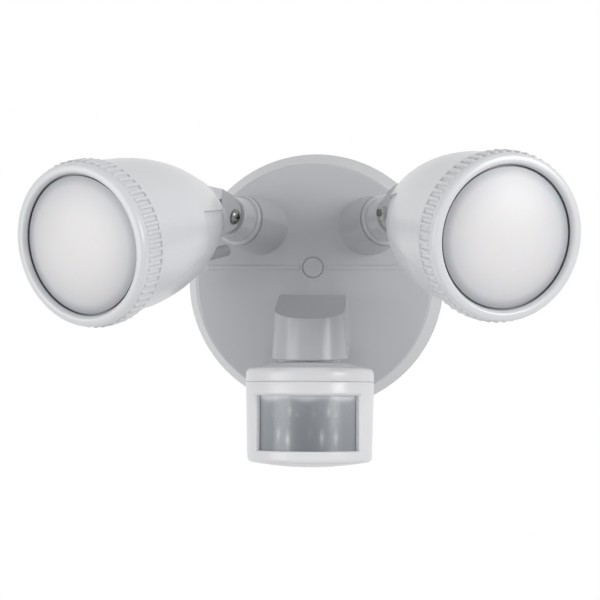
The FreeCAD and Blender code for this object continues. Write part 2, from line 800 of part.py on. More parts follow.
def make_arm(side, word):
    place = arm_frame(side)
    rim = dim.boss_height - dim.pivot_reach
    collar_low = rim + dim.seal_thick
    collar_high = collar_low + dim.collar_thick
    barrel_high = collar_high + dim.barrel_length
    stem_low = -dim.pivot_reach - dim.boss_sink - dim.nut_thick - dim.seal_thick - 1.5
    bore = dim.lead_bore_radius

    arm = new_body(f"{word}_arm", place)
    revolve(
        arm,
        f"{word}_arm_turned",
        [
            (bore, stem_low),
            (dim.stem_radius, stem_low),
            (dim.stem_radius, collar_low),
            (dim.collar_radius, collar_low),
            (dim.collar_radius, collar_high - dim.collar_thick / 2),
            (dim.collar_radius - dim.collar_thick / 2, collar_high, dim.collar_thick / 2, -1),
            (dim.barrel_foot_radius, collar_high),
            (dim.barrel_top_radius, barrel_high - 1.2),
            (dim.barrel_top_radius - 1.2, barrel_high, 1.2, -1),
            (0.0, barrel_high),
            (0.0, barrel_high - 2.5),
            (bore, barrel_high - 2.5),
        ],
    )
    half, round_end = dim.tongue_thick / 2, dim.tongue_radius

    def tongue(sketch):
        outline(
            sketch,
            [
                (-round_end, barrel_high - 1.0),
                (round_end, barrel_high - 1.0),
                (round_end, 0.0),
                (0.0, round_end, round_end, -1),
                (-round_end, 0.0, round_end, -1),
            ],
        )

    extrude(arm, f"{word}_tongue", tongue, "YZ_Plane", -half, dim.tongue_thick)

    def screw_way(sketch):
        circle(sketch, 0.0, 0.0, dim.screw_radius + dim.screw_fit)

    extrude(arm, f"{word}_tongue_bore", screw_way, "YZ_Plane", -dim.tongue_thick, dim.tongue_thick * 2, cut=True)
    keep(arm)

    lathe(
        f"{word}_arm_seal",
        ring_outline(dim.stem_radius + dim.running_gap, dim.boss_top_radius - 1.2, rim + dim.running_gap / 2, collar_low),
        place,
    )
    nut_high = -dim.pivot_reach - dim.boss_sink
    nut = new_body(f"{word}_arm_nut", place)
    nut_low = nut_high - dim.nut_thick
    revolve(nut, f"{word}_nut_turned", ring_outline(dim.stem_radius, dim.nut_radius, nut_low, nut_high))

    def flats(sketch):
        r = dim.nut_radius
        outline(sketch, [(r * 0.866, -r), (r * 1.5, -r), (r * 1.5, r), (r * 0.866, r)])

    flat = extrude(nut, f"{word}_nut_flat", flats, "XY_Plane", nut_low - 1.0, dim.nut_thick + 2.0, cut=True)
    around(nut, f"{word}_nut_flats", [flat], as_size(6))
    keep(nut)

    for number, start in ((1, -half - dim.washer_thick), (2, half)):
        ring = new_body(f"{word}_washer_{number}", place)
        extrude(ring, f"{word}_washer_pad_{number}", washer_outline, "YZ_Plane", start, dim.washer_thick)
    pair = doc.addObject("Part::Compound", f"{word}_knuckle_washers")
    pair.Label = f"{word}_knuckle_washers"
    pair.Links = [doc.getObject(f"{word}_washer_1"), doc.getObject(f"{word}_washer_2")]
    keep(pair)


def washer_outline(sketch):
    circle(sketch, 0.0, 0.0, dim.washer_radius)
    circle(sketch, 0.0, 0.0, dim.screw_radius + dim.screw_fit)


# ---- lamp heads ------------------------------------------------------------------------------


def make_tilt_bracket(side, word, place):
    """Disc on the rear of the head with two ears that hold the arm's tongue."""
    start = dim.bracket_start
    disc_high = start + dim.bracket_disc
    wall_high = disc_high + dim.seal_thick + dim.head_wall
    bracket = new_body(f"{word}_tilt_bracket", place)
    revolve(
        bracket,
        f"{word}_bracket_turned",
        [
            (dim.lead_bore_radius, start),
            (dim.bracket_radius - 1.0, start),
            (dim.bracket_radius, start + 1.0, as_size(1.0), -1),
            (dim.bracket_radius, disc_high),
            (dim.bracket_spigot, disc_high),
            (dim.bracket_spigot, wall_high + dim.nut_thick),
            (dim.lead_bore_radius, wall_high + dim.nut_thick),
        ],
    )
    inner = ear_inner()
    high, low = dim.ear_nose_top, dim.ear_nose_bottom

    def ear(sketch):
        outline(
            sketch,
            [
                (-dim.ear_foot_bottom, disc_high),
                (-low, 0.0),
                (high, 0.0, arc_radius((high + low) / 2, dim.ear_nose), -1),
                (dim.ear_shoulder, dim.ear_shoulder_place),
                (dim.ear_foot_top, disc_high),
            ],
        )

    for number, begin in ((1, -inner - dim.ear_thick), (2, inner)):
        extrude(bracket, f"{word}_ear_{number}", ear, "YZ_Plane", begin, dim.ear_thick)

    def screw_way(sketch):
        circle(sketch, 0.0, 0.0, dim.screw_radius)

    wide = inner + dim.ear_thick
    extrude(bracket, f"{word}_ear_bore", screw_way, "YZ_Plane", -wide * 1.2, wide * 2.4, cut=True)
    keep(bracket)

    lathe(
        f"{word}_bracket_seal",
        ring_outline(dim.bracket_spigot, dim.bracket_radius - 0.8, disc_high, disc_high + dim.seal_thick),
        place,
    )
    lathe(
        f"{word}_bracket_nut",
        ring_outline(dim.bracket_spigot, dim.bracket_spigot + 3.4, wall_high, wall_high + dim.nut_thick - 1.0),
        place,
    )


def ear_inner():
    """Middle of the knuckle to the inside of an ear."""
    return dim.tongue_thick / 2 + dim.washer_thick + 0.05


def make_knuckle_screw(side, word, place):
    centre, screw, along, ahead = knuckle(side)
    axis_place = frame_at(centre, ahead, screw)
    wide = ear_inner() + dim.ear_thick
    head, height = dim.screw_head_radius, dim.screw_head_height
    body = new_body(f"{word}_knuckle_screw", axis_place)
    revolve(
        body,
        f"{word}_screw_turned",
        [
            (0.0, -wide - dim.hex_thick - 0.8),
            (dim.screw_radius, -wide - dim.hex_thick - 0.8),
            (dim.screw_radius, wide),
            (head, wide),
            (head, wide + height * 0.35),
            (0.0, wide + height, arc_radius(head, height * 0.65), -1),
        ],
    )

    def cross(sketch):
        arm, slit = head * 0.52, head * 0.13
        outline(
            sketch,
            [
                (-arm, -slit), (-slit, -slit), (-slit, -arm), (slit, -arm), (slit, -slit), (arm, -slit),
                (arm, slit), (slit, slit), (slit, arm), (-slit, arm), (-slit, slit), (-arm, slit),
            ],
        )  # fmt: skip

    extrude(body, f"{word}_screw_cross", cross, "XY_Plane", wide + height * 0.3, height, cut=True)
    keep(body)

    nut = new_body(f"{word}_knuckle_nut", axis_place)
    r = dim.hex_radius
    corners = [(r * math.cos(math.radians(a)), r * math.sin(math.radians(a))) for a in range(0, 360, 60)]

    def hexagon(sketch):
        outline(sketch, corners)
        circle(sketch, 0.0, 0.0, dim.screw_radius)

    extrude(nut, f"{word}_nut_hexagon", hexagon, "XY_Plane", -wide - dim.hex_thick, dim.hex_thick)
    keep(nut)


def shell_rear():
    return dim.bracket_start + dim.bracket_disc + dim.seal_thick


def make_head_shell(side, word, place):
    """Bell-shaped shell with a flange round its shoulder, its lower rear set back under a ledge."""
    rear, wall, margin = shell_rear(), dim.head_wall, dim.cut_margin
    spigot_end = dim.shell_front + dim.spigot_length
    flange_end = dim.shell_waist + dim.flange_length
    flange_radius = dim.shoulder_radius + dim.flange_rise
    solid = new_body(f"{word}_head_solid")
    revolve(
        solid,
        f"{word}_head_turned",
        [
            (0.0, rear),
            (dim.shell_rear_radius, rear),
            (dim.shell_waist_radius, dim.shell_waist, dim.rear_bulge, -1),
            (dim.shoulder_radius, dim.shell_waist),
            (flange_radius, flange_end),
            (flange_radius - dim.flange_groove, flange_end),
            (dim.shell_body_radius, flange_end + dim.flange_groove),
            (dim.shell_full_radius, dim.shell_full, dim.side_bulge, -1),
            (dim.shell_front_radius, dim.shell_front),
            (dim.spigot_radius, dim.shell_front),
            (dim.spigot_radius, spigot_end),
            (0.0, spigot_end),
        ],
    )
    outside = doc.addObject("Part::MultiFuse", f"{word}_head_outside")
    outside.Shapes = [solid, make_cheeks(word)]

    cavity = new_body(f"{word}_head_cavity")
    back = rear + wall
    revolve(
        cavity,
        f"{word}_cavity_turned",
        [
            (0.0, back),
            (dim.shell_rear_radius - dim.cavity_corner, back),
            (dim.shell_waist_radius - wall, dim.shell_waist + wall / 2, dim.rear_bulge, -1),
            (dim.inner_radius - wall, dim.ledge_place, dim.side_bulge, -1),
            (dim.inner_radius, dim.ledge_place),
            (dim.inner_radius, spigot_end + margin),
            (0.0, spigot_end + margin),
        ],
    )
    hole = doc.addObject("Part::Cylinder", f"{word}_bracket_hole")
    bind(hole, "Radius", dim.bracket_spigot)
    bind(hole, "Height", wall * 3)
    hole.Placement = Placement(Vector(0, 0, rear.value - wall.value), Rotation())
    lead = doc.addObject("Part::Cylinder", f"{word}_grommet_hole")
    bind(lead, "Radius", dim.grommet_radius)
    bind(lead, "Height", dim.grommet_length + wall)
    lead.Placement = grommet_spot()
    shell = carve(f"{word}_head_shell", outside, [heel_cut(word), cavity, hole, lead])
    shell.Placement = place
    keep(shell)


def make_cheeks(word):
    """Two ribs on the rear of the shell that carry on the line of the bracket's ears."""
    cheeks = new_body(f"{word}_cheeks")
    low = shell_rear() - dim.seal_thick + dim.cheek_gap
    high = dim.shell_waist - dim.cheek_short

    def rib(sketch):
        outline(
            sketch,
            [(dim.cheek_foot, low), (dim.ear_foot_top, low), (dim.cheek_top, high), (dim.cheek_foot, high)],
        )

    extrude(cheeks, f"{word}_cheek_1", rib, "YZ_Plane", -ear_inner() - dim.ear_thick, dim.ear_thick)
    pair = doc.addObject("Part::MultiFuse", f"{word}_cheek_pair")
    other = new_body(f"{word}_cheeks_right")
    extrude(other, f"{word}_cheek_2", rib, "YZ_Plane", ear_inner(), dim.ear_thick)
    pair.Shapes = [cheeks, other]
    return pair


def heel_cut(word):
    """What is taken off the lower rear of the shell, under the ledge on each side."""
    ring = new_body(f"{word}_heel_ring")
    deep, shallow, margin = dim.heel_depth_rear, dim.heel_depth_front, dim.cut_margin
    low, high = shell_rear() - margin, dim.shell_front - margin
    big = dim.shell_front_radius + dim.head_wall
    revolve(
        ring,
        f"{word}_heel_turned",
        [
            (dim.shell_rear_radius - deep, low),
            (big, low),
            (big, high),
            (dim.shell_full_radius - shallow, high),
            (dim.shell_full_radius - shallow, dim.shell_full),
            (dim.shoulder_radius - deep, dim.shell_waist, dim.side_bulge, 1),
        ],
    )
    block = new_body(f"{word}_heel_block")

    def side_view(sketch):
        outline(
            sketch,
            [
                (dim.heel_ledge_rear, low),
                (dim.heel_ledge_front, dim.heel_front),
                (-dim.heel_bend, dim.heel_front),
                (-dim.heel_slope_drop, dim.heel_slope_end),
                (-big, high),
                (-big, low),
            ],
        )

    extrude(block, f"{word}_heel_side", side_view, "YZ_Plane", -big, big * 2)
    return boolean("Common", f"{word}_heel", ring, block)


def grommet_spot():
    return Placement(Vector(dim.grommet_side.value, -dim.grommet_drop.value, dim.grommet_start.value), Rotation())


def make_bezel(side, word, place):
    """Screw-on front ring with grip ribs and a round lip over the lens edge."""
    seam, lens, skin = dim.shell_front, dim.lens_place, dim.spigot_radius
    band, lip = dim.bezel_band_radius, dim.lip_radius
    crest = (lip + dim.lens_opening) / 2
    ring = new_body(f"{word}_bezel_ring", place)
    revolve(
        ring,
        f"{word}_bezel_turned",
        [
            (skin, seam),
            (band, seam),
            (band, lens - dim.lip_round),
            (lip, lens - dim.lip_round + 0.7),
            (crest, lens + dim.lip_round / 2, dim.lip_round + 0.2, -1),
            (dim.lens_opening, lens, dim.lip_round, -1),
            (dim.lens_opening, lens_face()),
            (skin, lens_face()),
        ],
    )

    def rib(sketch):
        half = dim.rib_width / 2
        outline(sketch, [(-half, band - 0.5), (half, band - 0.5), (half, band + dim.rib_height), (-half, band + dim.rib_height)])

    one = extrude(ring, f"{word}_rib", rib, "XY_Plane", seam + dim.rib_start, dim.rib_length)
    around(ring, f"{word}_ribs", [one], dim.rib_count)
    keep(ring)


def lens_face():
    """Front of the lens edge, under the lip."""
    return dim.lens_place - 1.2


def make_lens(side, word, place):
    face, edge = lens_face(), dim.lens_edge
    seat, sight = dim.lens_seat, dim.lens_opening - 0.4
    lathe(
        f"{word}_diffuser_lens",
        [
            (0.0, face - edge),
            (seat, face - edge),
            (seat, face),
            (sight, face),
            (0.0, face + dim.lens_crown, arc_radius(sight, dim.lens_crown), -1),
        ],
        place,
    )
    spigot_end = dim.shell_front + dim.spigot_length
    lathe(
        f"{word}_lens_gasket",
        ring_outline(dim.inner_radius, dim.lens_seat, spigot_end, face - edge),
        place,
    )


def make_lamp(side, word, place):
    """Heat sink, board, chips and reflector, stacked on the ledge inside the shell."""
    ledge = dim.ledge_place
    plate_high = ledge + dim.sink_plate
    sink = new_body(f"{word}_heat_sink", place)
    core, length = dim.sink_core_radius, dim.sink_core_length
    revolve(
        sink,
        f"{word}_sink_turned",
        [
            (0.0, ledge - length),
            (core, ledge - length),
            (core, ledge),
            (dim.inner_radius - 0.2, ledge),
            (dim.inner_radius - 0.2, plate_high),
            (0.0, plate_high),
        ],
    )

    def fin(sketch):
        outline(
            sketch,
            [
                (core - 0.5, ledge - length + 6.0),
                (core + 2.0, ledge - length + 6.0),
                (dim.sink_fin_reach, ledge - 8.0),
                (dim.sink_fin_reach, ledge + 0.5),
                (core - 0.5, ledge + 0.5),
            ],
        )

    one = extrude(sink, f"{word}_fin", fin, "XZ_Plane", -0.8, as_size(1.6))
    around(sink, f"{word}_fins", [one], dim.sink_fin_count)
    keep(sink)

    board_high = plate_high + dim.board_thick
    lathe(f"{word}_lamp_board", disc_outline(dim.board_radius, plate_high, board_high), place)

    half = dim.chip_size / 2
    chips = []
    for number in range(int(dim.chip_count.value)):
        chip = doc.addObject("Part::Box", f"{word}_chip_{number + 1}")
        bind(chip, "Length", dim.chip_size)
        bind(chip, "Width", dim.chip_size)
        bind(chip, "Height", dim.chip_height)
        turn = Placement(Vector(0, 0, 0), Rotation(Vector(0, 0, 1), 360.0 * number / dim.chip_count.value))
        seat = Placement(Vector(dim.chip_ring.value - half.value, -half.value, board_high.value), Rotation())
        chip.Placement = place * turn * seat
        chips.append(chip)
    group = doc.addObject("Part::Compound", f"{word}_lamp_chips")
    group.Label = f"{word}_lamp_chips"
    group.Links = chips
    keep(group)

    rim = dim.inner_radius - 0.3
    top = dim.shell_front + dim.spigot_length - 0.3
    wall, foot = dim.reflector_wall, dim.reflector_foot
    lathe(
        f"{word}_reflector",
        [(foot, board_high), (foot + wall, board_high), (rim, top), (rim - wall, top)],
        place,
    )


def make_grommet(side, word, place):
    """Rubber bush in the rear of the head for the lamp leads."""
    r, hole, mouth, soft = dim.grommet_radius, dim.grommet_hole, dim.grommet_mouth, dim.small_round
    low, high = as_size(0.0), dim.grommet_length
    lathe(
        f"{word}_lead_grommet",
        [(hole, mouth), (0.0, mouth), (0.0, high), (r, high), (r, soft), (r - soft, low), (hole, low)],
        place * grommet_spot(),
    )


# ---- sensor ----------------------------------------------------------------------------------


def sensor_plan(front, back):
    """Sensor seen from above: a half circle in front and a flatter curve behind."""
    bulge = arc_radius(front, back)
    points = [(front, 0.0, front, -1), (0.0, back, bulge, -1), (-front, 0.0, bulge, -1), (0.0, -front, front, -1)]
    return lambda sketch: outline(sketch, points)


def make_swivel():
    """Ball in the neck's socket, its stud turning in the sensor cap, and the clip that holds the cap."""
    place = sensor_frame()
    r, flat, top, bore, stud = dim.ball_radius, dim.ball_flat, dim.ball_top, dim.ball_bore, dim.stud_radius
    flat_r = ball_slice(flat)
    top_r = ball_slice(top)
    clip_high = cap_underside() - 0.1
    clip_low = clip_high - 2.0
    end = clip_low - 1.5
    lathe(
        "swivel_ball",
        [
            (bore, end),
            (stud, end),
            (stud, -flat),
            (flat_r, -flat),
            (top_r, top, r, -1),
            (bore, top),
        ],
        place,
    )
    lathe("swivel_clip", ring_outline(stud, stud + 4.0, clip_low, clip_high), place)


def ball_slice(height):
    """Radius of the ball at this distance from its centre."""
    r = dim.ball_radius
    value = math.sqrt(r.value**2 - height.value**2)
    return Size(value, f"sqrt({r.text}^2 - {height.text}^2)")


def cap_underside():
    return -dim.cap_shoulder - 0.6


def make_sensor_cap():
    place = sensor_frame()
    cap = new_body("sensor_cap", place)
    front, back, wall = dim.sensor_radius, dim.sensor_back, dim.sensor_wall
    seam, groove = -dim.seam_place, dim.seam_groove
    top = -dim.disc_foot
    extrude(cap, "cap_step", sensor_plan(front - groove, back - groove), "XY_Plane", seam, groove * 2)
    extrude(cap, "cap_band", sensor_plan(front, back), "XY_Plane", seam + groove, top - seam - groove)
    disc = dim.collar_disc_radius
    shoulder = -dim.cap_shoulder
    round_off = dim.cap_round
    revolve(
        cap,
        "cap_slope",
        [
            (disc, top),
            (front - round_off, shoulder),
            (front + 0.05, shoulder - round_off, round_off, -1),
            (front + 2.0, shoulder - round_off),
            (front + 2.0, top + 1.0),
            (disc, top + 1.0),
        ],
        cut=True,
    )
    revolve(
        cap,
        "cap_disc",
        [
            (dim.stud_radius + dim.running_gap, top - 1.0),
            (disc, top - 1.0),
            (disc, top + 0.5),
            (disc - 4.6, -dim.disc_top),
            (dim.ball_radius - 1.0, -dim.disc_top),
            (dim.ball_radius - 1.0, -dim.ball_flat - 0.05),
            (dim.stud_radius + dim.running_gap, -dim.ball_flat - 0.05),
        ],
    )
    inner_front, inner_back = dim.sensor_inner - 0.15, back - wall

    extrude(
        cap,
        "cap_room",
        sensor_plan(inner_front - 1.4, inner_back - 1.4),
        "XY_Plane",
        seam - 4.0,
        cap_underside() - seam + 4.0,
        cut=True,
    )

    def stud_hole(sketch):
        circle(sketch, 0.0, 0.0, dim.stud_radius + dim.running_gap)

    extrude(cap, "cap_hole", stud_hole, "XY_Plane", seam, dim.seam_place, cut=True)
    keep(cap)


def make_sensor_housing():
    place = sensor_frame()
    shell = new_body("sensor_housing", place)
    front, back, wall = dim.sensor_radius, dim.sensor_back, dim.sensor_wall
    seam = -dim.seam_place
    deepest = -dim.sensor_edge - dim.sensor_crown
    extrude(
        shell,
        "housing_pad",
        sensor_plan(front, back),
        "XY_Plane",
        seam,
        seam - deepest,
        draft=-dim.sensor_draft,
    )
    doc.getObject("housing_pad").Reversed = True
    far = front + 3.0
    revolve(
        shell,
        "housing_crown",
        [
            (0.0, deepest - 2.0),
            (far, deepest - 2.0),
            (far, -dim.sensor_edge + 0.6),
            (0.0, deepest, arc_radius(far, dim.sensor_crown + 0.6), 1),
        ],
        cut=True,
    )
    floor = -dim.sensor_edge + 1.2
    extrude(
        shell,
        "housing_room",
        sensor_plan(dim.sensor_inner, back - wall),
        "XY_Plane",
        floor,
        seam - floor + 1.0,
        cut=True,
    )
    keep(shell)
    return shell


def window_cut(shell):
    """Curved window in the front, with a bevel all round."""
    outer, inner = dim.sensor_radius, dim.sensor_inner - 3.0
    high, low, bevel = -dim.window_top, -dim.window_bottom, dim.window_bevel
    face = outer - dim.sensor_wall / 2
    for name, reach, points in (
        (
            "window_opening",
            dim.window_half,
            [
                (inner, low),
                (face, low),
                (outer + 1.0, low - bevel),
                (outer + 1.0, high + bevel),
                (face, high),
                (inner, high),
            ],
        ),
        (
            "window_sides",
            dim.window_half + 3.4,
            [
                (face, low),
                (outer + 1.0, low - bevel),
                (outer + 1.0, high + bevel),
                (face, high),
            ],
        ),
    ):
        sketch = sketch_on(shell, name + "_outline", "YZ_Plane")
        outline(sketch, [(-x, y) for x, y in points])
        groove = shell.newObject("PartDesign::Groove", name)
        groove.Profile = sketch
        groove.ReferenceAxis = (sketch, ["V_Axis"])
        bind(groove, "Angle", reach * 2)
        groove.Midplane = True


def make_sensor_lens():
    place = sensor_frame()
    sheet = new_body("sensor_lens", place)
    r, thick = dim.sensor_inner - 0.1, dim.lens_sheet
    margin = 1.8
    sketch = sketch_on(sheet, "lens_sheet_outline", "YZ_Plane")
    high, low = -dim.window_top + margin, -dim.window_bottom - margin
    outline(sketch, [(-r, low), (-r, high), (thick - r, high), (thick - r, low)])
    turn = sheet.newObject("PartDesign::Revolution", "lens_sheet_turned")
    turn.Profile = sketch
    turn.ReferenceAxis = (sketch, ["V_Axis"])
    bind(turn, "Angle", (dim.window_half + 4.0) * 2)
    turn.Midplane = True
    keep(sheet)


def make_sensor_inside():
    place = sensor_frame()
    board = new_body("sensor_board", place)
    low = -dim.sensor_edge + 1.2
    high = -dim.seam_place - 2.0
    half = dim.sensor_inner * 0.8
    back = as_size(7.0)

    def square(sketch):
        outline(sketch, [(-half, low), (half, low), (half, high), (-half, high)])

    # XZ sketches grow towards -y, so the start is the face nearer the visitor, measured backwards
    extrude(board, "board_pad", square, "XZ_Plane", -back - dim.board_thick, dim.board_thick)
    keep(board)
    eye = place * frame_at(Vector(0, 7.0, -(dim.window_top.value + dim.window_bottom.value) / 2), Vector(1, 0, 0), Vector(0, -1, 0))
    lathe(
        "pir_element",
        [(0.0, 0.0), (4.6, 0.0), (4.6, 0.6), (4.1, 0.6), (4.1, 4.2), (0.0, 4.2)],
        eye,
    )
    lamp = place * frame_at(Vector(-14.0, 7.0, -dim.window_top.value - 4.0), Vector(1, 0, 0), Vector(0, -1, 0))
    lathe("indicator_lamp", [(0.0, 0.0), (1.5, 0.0), (1.5, 3.4), (0.0, 4.9, as_size(1.5), -1)], lamp)
    cell = place * frame_at(Vector(14.0, 7.0, -dim.window_top.value - 4.0), Vector(1, 0, 0), Vector(0, -1, 0))
    lathe("photocell", disc_outline(as_size(2.6), 0.0, as_size(2.2)), cell)
    relay = doc.addObject("Part::Box", "relay")
    for prop, size in (("Length", 19.0), ("Width", 8.0), ("Height", 15.0)):
        bind(relay, prop, size)
    relay.Placement = place * Placement(
        Vector(-9.5, 7.0 + dim.board_thick.value, -dim.window_bottom.value + 2.0), Rotation()
    )
    relay.Label = "relay"
    keep(relay)


def knob_spot(side):
    return sensor_frame() * Placement(Vector(side * dim.knob_side.value, dim.knob_back.value, 0), Rotation())


def knob_levels():
    floor = -dim.sensor_edge + 1.2
    bottom = -dim.sensor_edge - dim.sensor_crown + 0.6
    return floor, bottom


def make_knob(side, name):
    """Slotted knob in a well under the sensor, its stem snapped through the floor."""
    floor, bottom = knob_levels()
    r, stem = dim.knob_radius, dim.knob_stem
    body = new_body(name, knob_spot(side))
    revolve(
        body,
        name + "_turned",
        [
            (0.0, bottom),
            (r - 0.4, bottom),
            (r, bottom + 0.4),
            (r, bottom + dim.knob_thick),
            (stem, bottom + dim.knob_thick),
            (stem, floor + 0.2),
            (stem + 1.0, floor + 0.2),
            (stem + 1.0, floor + 1.4),
            (0.0, floor + 1.4),
        ],
    )

    def slit(sketch):
        outline(sketch, [(-r, -0.5), (r, -0.5), (r, 0.5), (-r, 0.5)])

    extrude(body, name + "_slit", slit, "XY_Plane", bottom - 1.0, as_size(2.2), cut=True)
    keep(body)


def knob_well(shell, side, name):
    floor, bottom = knob_levels()

    def well(sketch):
        circle(sketch, side * dim.knob_side, dim.knob_back, dim.knob_radius + dim.knob_gap)

    def way(sketch):
        circle(sketch, side * dim.knob_side, dim.knob_back, dim.knob_stem + dim.running_gap)

    extrude(shell, name + "_well", well, "XY_Plane", bottom - 3.0, dim.knob_thick + 3.3, cut=True)
    extrude(shell, name + "_way", way, "XY_Plane", bottom - 3.0, floor - bottom + 5.0, cut=True)


# ---- the whole light -------------------------------------------------------------------------

make_canopy()
make_canopy_fittings()
make_wall_fixing()
make_driver()
for side, word in ((-1, "left"), (1, "right")):
    make_arm(side, word)
    place = head_frame(side)
    make_tilt_bracket(side, word, place)
    make_knuckle_screw(side, word, place)
    make_head_shell(side, word, place)
    make_bezel(side, word, place)
    make_lens(side, word, place)
    make_lamp(side, word, place)
    make_grommet(side, word, place)
make_swivel()
make_sensor_cap()
housing = make_sensor_housing()
window_cut(housing)
for side, name in ((-1, "time_knob"), (1, "range_knob")):
    knob_well(housing, side, name)
    make_knob(side, name)
make_sensor_lens()
make_sensor_inside()

doc.recompute()

broken = [f"{o.Name}: {o.State}" for o in doc.Objects if {"Invalid", "Error"} & set(o.State)]
for node in NODES:
    shape = node.Shape
    if shape.isNull() or not shape.isValid() or not shape.Solids:
        broken.append(f"{node.Label}: no sound shape")
if broken:
    raise SystemExit("not built: " + "; ".join(broken))

os.makedirs("parts", exist_ok=True)
for node in NODES:
    node.Shape.exportStep(f"parts/{node.Label}.step")
    print(node.Label, len(node.Shape.Solids), "solid", round(node.Shape.Volume), "mm3")
print(len(NODES), "parts")
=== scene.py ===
import json
import math

import bmesh
import bpy
from mathutils import Matrix, Vector


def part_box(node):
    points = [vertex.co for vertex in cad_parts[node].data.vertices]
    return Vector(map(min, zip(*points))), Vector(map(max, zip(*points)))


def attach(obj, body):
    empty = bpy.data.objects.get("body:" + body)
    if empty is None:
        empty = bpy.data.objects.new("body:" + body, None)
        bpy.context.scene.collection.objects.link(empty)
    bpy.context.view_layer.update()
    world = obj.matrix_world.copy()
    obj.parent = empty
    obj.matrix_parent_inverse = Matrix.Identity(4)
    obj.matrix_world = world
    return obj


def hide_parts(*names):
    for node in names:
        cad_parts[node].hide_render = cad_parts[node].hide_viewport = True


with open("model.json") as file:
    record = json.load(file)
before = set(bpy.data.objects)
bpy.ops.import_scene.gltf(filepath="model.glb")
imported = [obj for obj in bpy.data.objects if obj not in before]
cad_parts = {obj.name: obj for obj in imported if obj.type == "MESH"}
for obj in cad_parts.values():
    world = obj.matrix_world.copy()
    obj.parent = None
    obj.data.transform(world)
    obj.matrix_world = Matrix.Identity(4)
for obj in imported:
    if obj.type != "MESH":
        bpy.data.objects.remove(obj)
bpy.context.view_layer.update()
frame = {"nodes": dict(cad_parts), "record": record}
nodes = frame["nodes"]
joints = {joint["name"]: joint for joint in frame["record"]["behaviour"]["joints"]}
mm = 0.001
still = Matrix.Identity(4)
print("frame loaded")


# small mesh helpers, with lengths in millimetres

def corner(before, at, after, radius, steps):
    # points of a rounded corner between two straight runs
    a, b = (before - at), (after - at)
    la, lb = a.length, b.length
    if radius <= 0 or la < 1e-9 or lb < 1e-9:
        return [at]
    half = a.angle(b) / 2
    if half > math.pi / 2 - 0.02:
        return [at]
    cut = min(radius / math.tan(half), 0.49 * la, 0.49 * lb)
    start, end = at + a * (cut / la), at + b * (cut / lb)
    return [start.lerp(at, t).lerp(at.lerp(end, t), t) for t in (i / steps for i in range(steps + 1))]


def softProfile(points, steps=5):
    # a closed profile of (radius, height) or (radius, height, rounding), with soft corners
    flat = [Vector((point[0], point[1])) for point in points]
    soft = []
    for i, point in enumerate(points):
        rounding = point[2] if len(point) > 2 else 0
        if rounding:
            soft += corner(flat[i - 1], flat[i], flat[(i + 1) % len(points)], rounding, steps)
        else:
            soft.append(flat[i])
    return soft


def finishMesh(bm, name, place, material, smooth=True, sharpAt=40):
    bmesh.ops.remove_doubles(bm, verts=bm.verts, dist=1e-7)
    bmesh.ops.recalc_face_normals(bm, faces=bm.faces)
    bmesh.ops.transform(bm, matrix=place, verts=bm.verts)
    mesh = bpy.data.meshes.new(name)
    bm.to_mesh(mesh)
    bm.free()
    if place.determinant() < 0:
        mesh.flip_normals()
    mesh.materials.append(material)
    piece = bpy.data.objects.new(name, mesh)
    bpy.context.scene.collection.objects.link(piece)
    if smooth:
        mesh.shade_smooth()
        mesh.set_sharp_from_angle(angle=math.radians(sharpAt))
    return piece


def aroundZ(radius, angle, height):
    # a point about Z, its angle counted from the X axis
    return (radius * mm * math.cos(angle), radius * mm * math.sin(angle), height * mm)


def fromFront(radius, angle, height):
    # a point about Z, its angle counted from the front
    return (radius * mm * math.sin(angle), -radius * mm * math.cos(angle), height * mm)


def joinRows(bm, rows):
    # faces between closed rows of points; a point that repeats makes a triangle
    for low, high in zip(rows, rows[1:]):
        for i in range(len(low)):
            k = (i + 1) % len(low)
            corners = list(dict.fromkeys((low[i], low[k], high[k], high[i])))
            if len(corners) > 2:
                bm.faces.new(corners)


def spin(bm, profile, turns):
    # a closed profile of (radius, height) turned about Z
    angles = [2 * math.pi * i / turns for i in range(turns)]
    rings = []
    for radius, height in profile:
        if radius < 1e-6:
            rings.append([bm.verts.new((0, 0, height * mm))] * turns)
        else:
            rings.append([bm.verts.new(aroundZ(radius, t, height)) for t in angles])
    joinRows(bm, rings + rings[:1])


def turned(name, profile, place, material, turns=192, sharpAt=40):
    bm = bmesh.new()
    spin(bm, profile, turns)
    return finishMesh(bm, name, place, material, sharpAt=sharpAt)


# materials

def newMaterial(name):
    material = bpy.data.materials.new(name)
    material.use_nodes = True
    material.node_tree.nodes.clear()
    return material


def add(tree, kind, settings=None, **values):
    node = tree.nodes.new(kind)
    for key, value in (settings or {}).items():
        setattr(node, key, value)
    for key, value in values.items():
        node.inputs[key.replace("_", " ")].default_value = value
    return node


def link(tree, *pairs):
    for start, end in pairs:
        tree.links.new(start, end)


def newGroup(name, inputs, outputs):
    group = bpy.data.node_groups.new(name, "ShaderNodeTree")
    for word, kind, value in inputs:
        socket = group.interface.new_socket(name=word, in_out="INPUT", socket_type=kind)
        if value is not None:
            socket.default_value = value
    for word, kind in outputs:
        group.interface.new_socket(name=word, in_out="OUTPUT", socket_type=kind)
    return group, add(group, "NodeGroupInput"), add(group, "NodeGroupOutput")


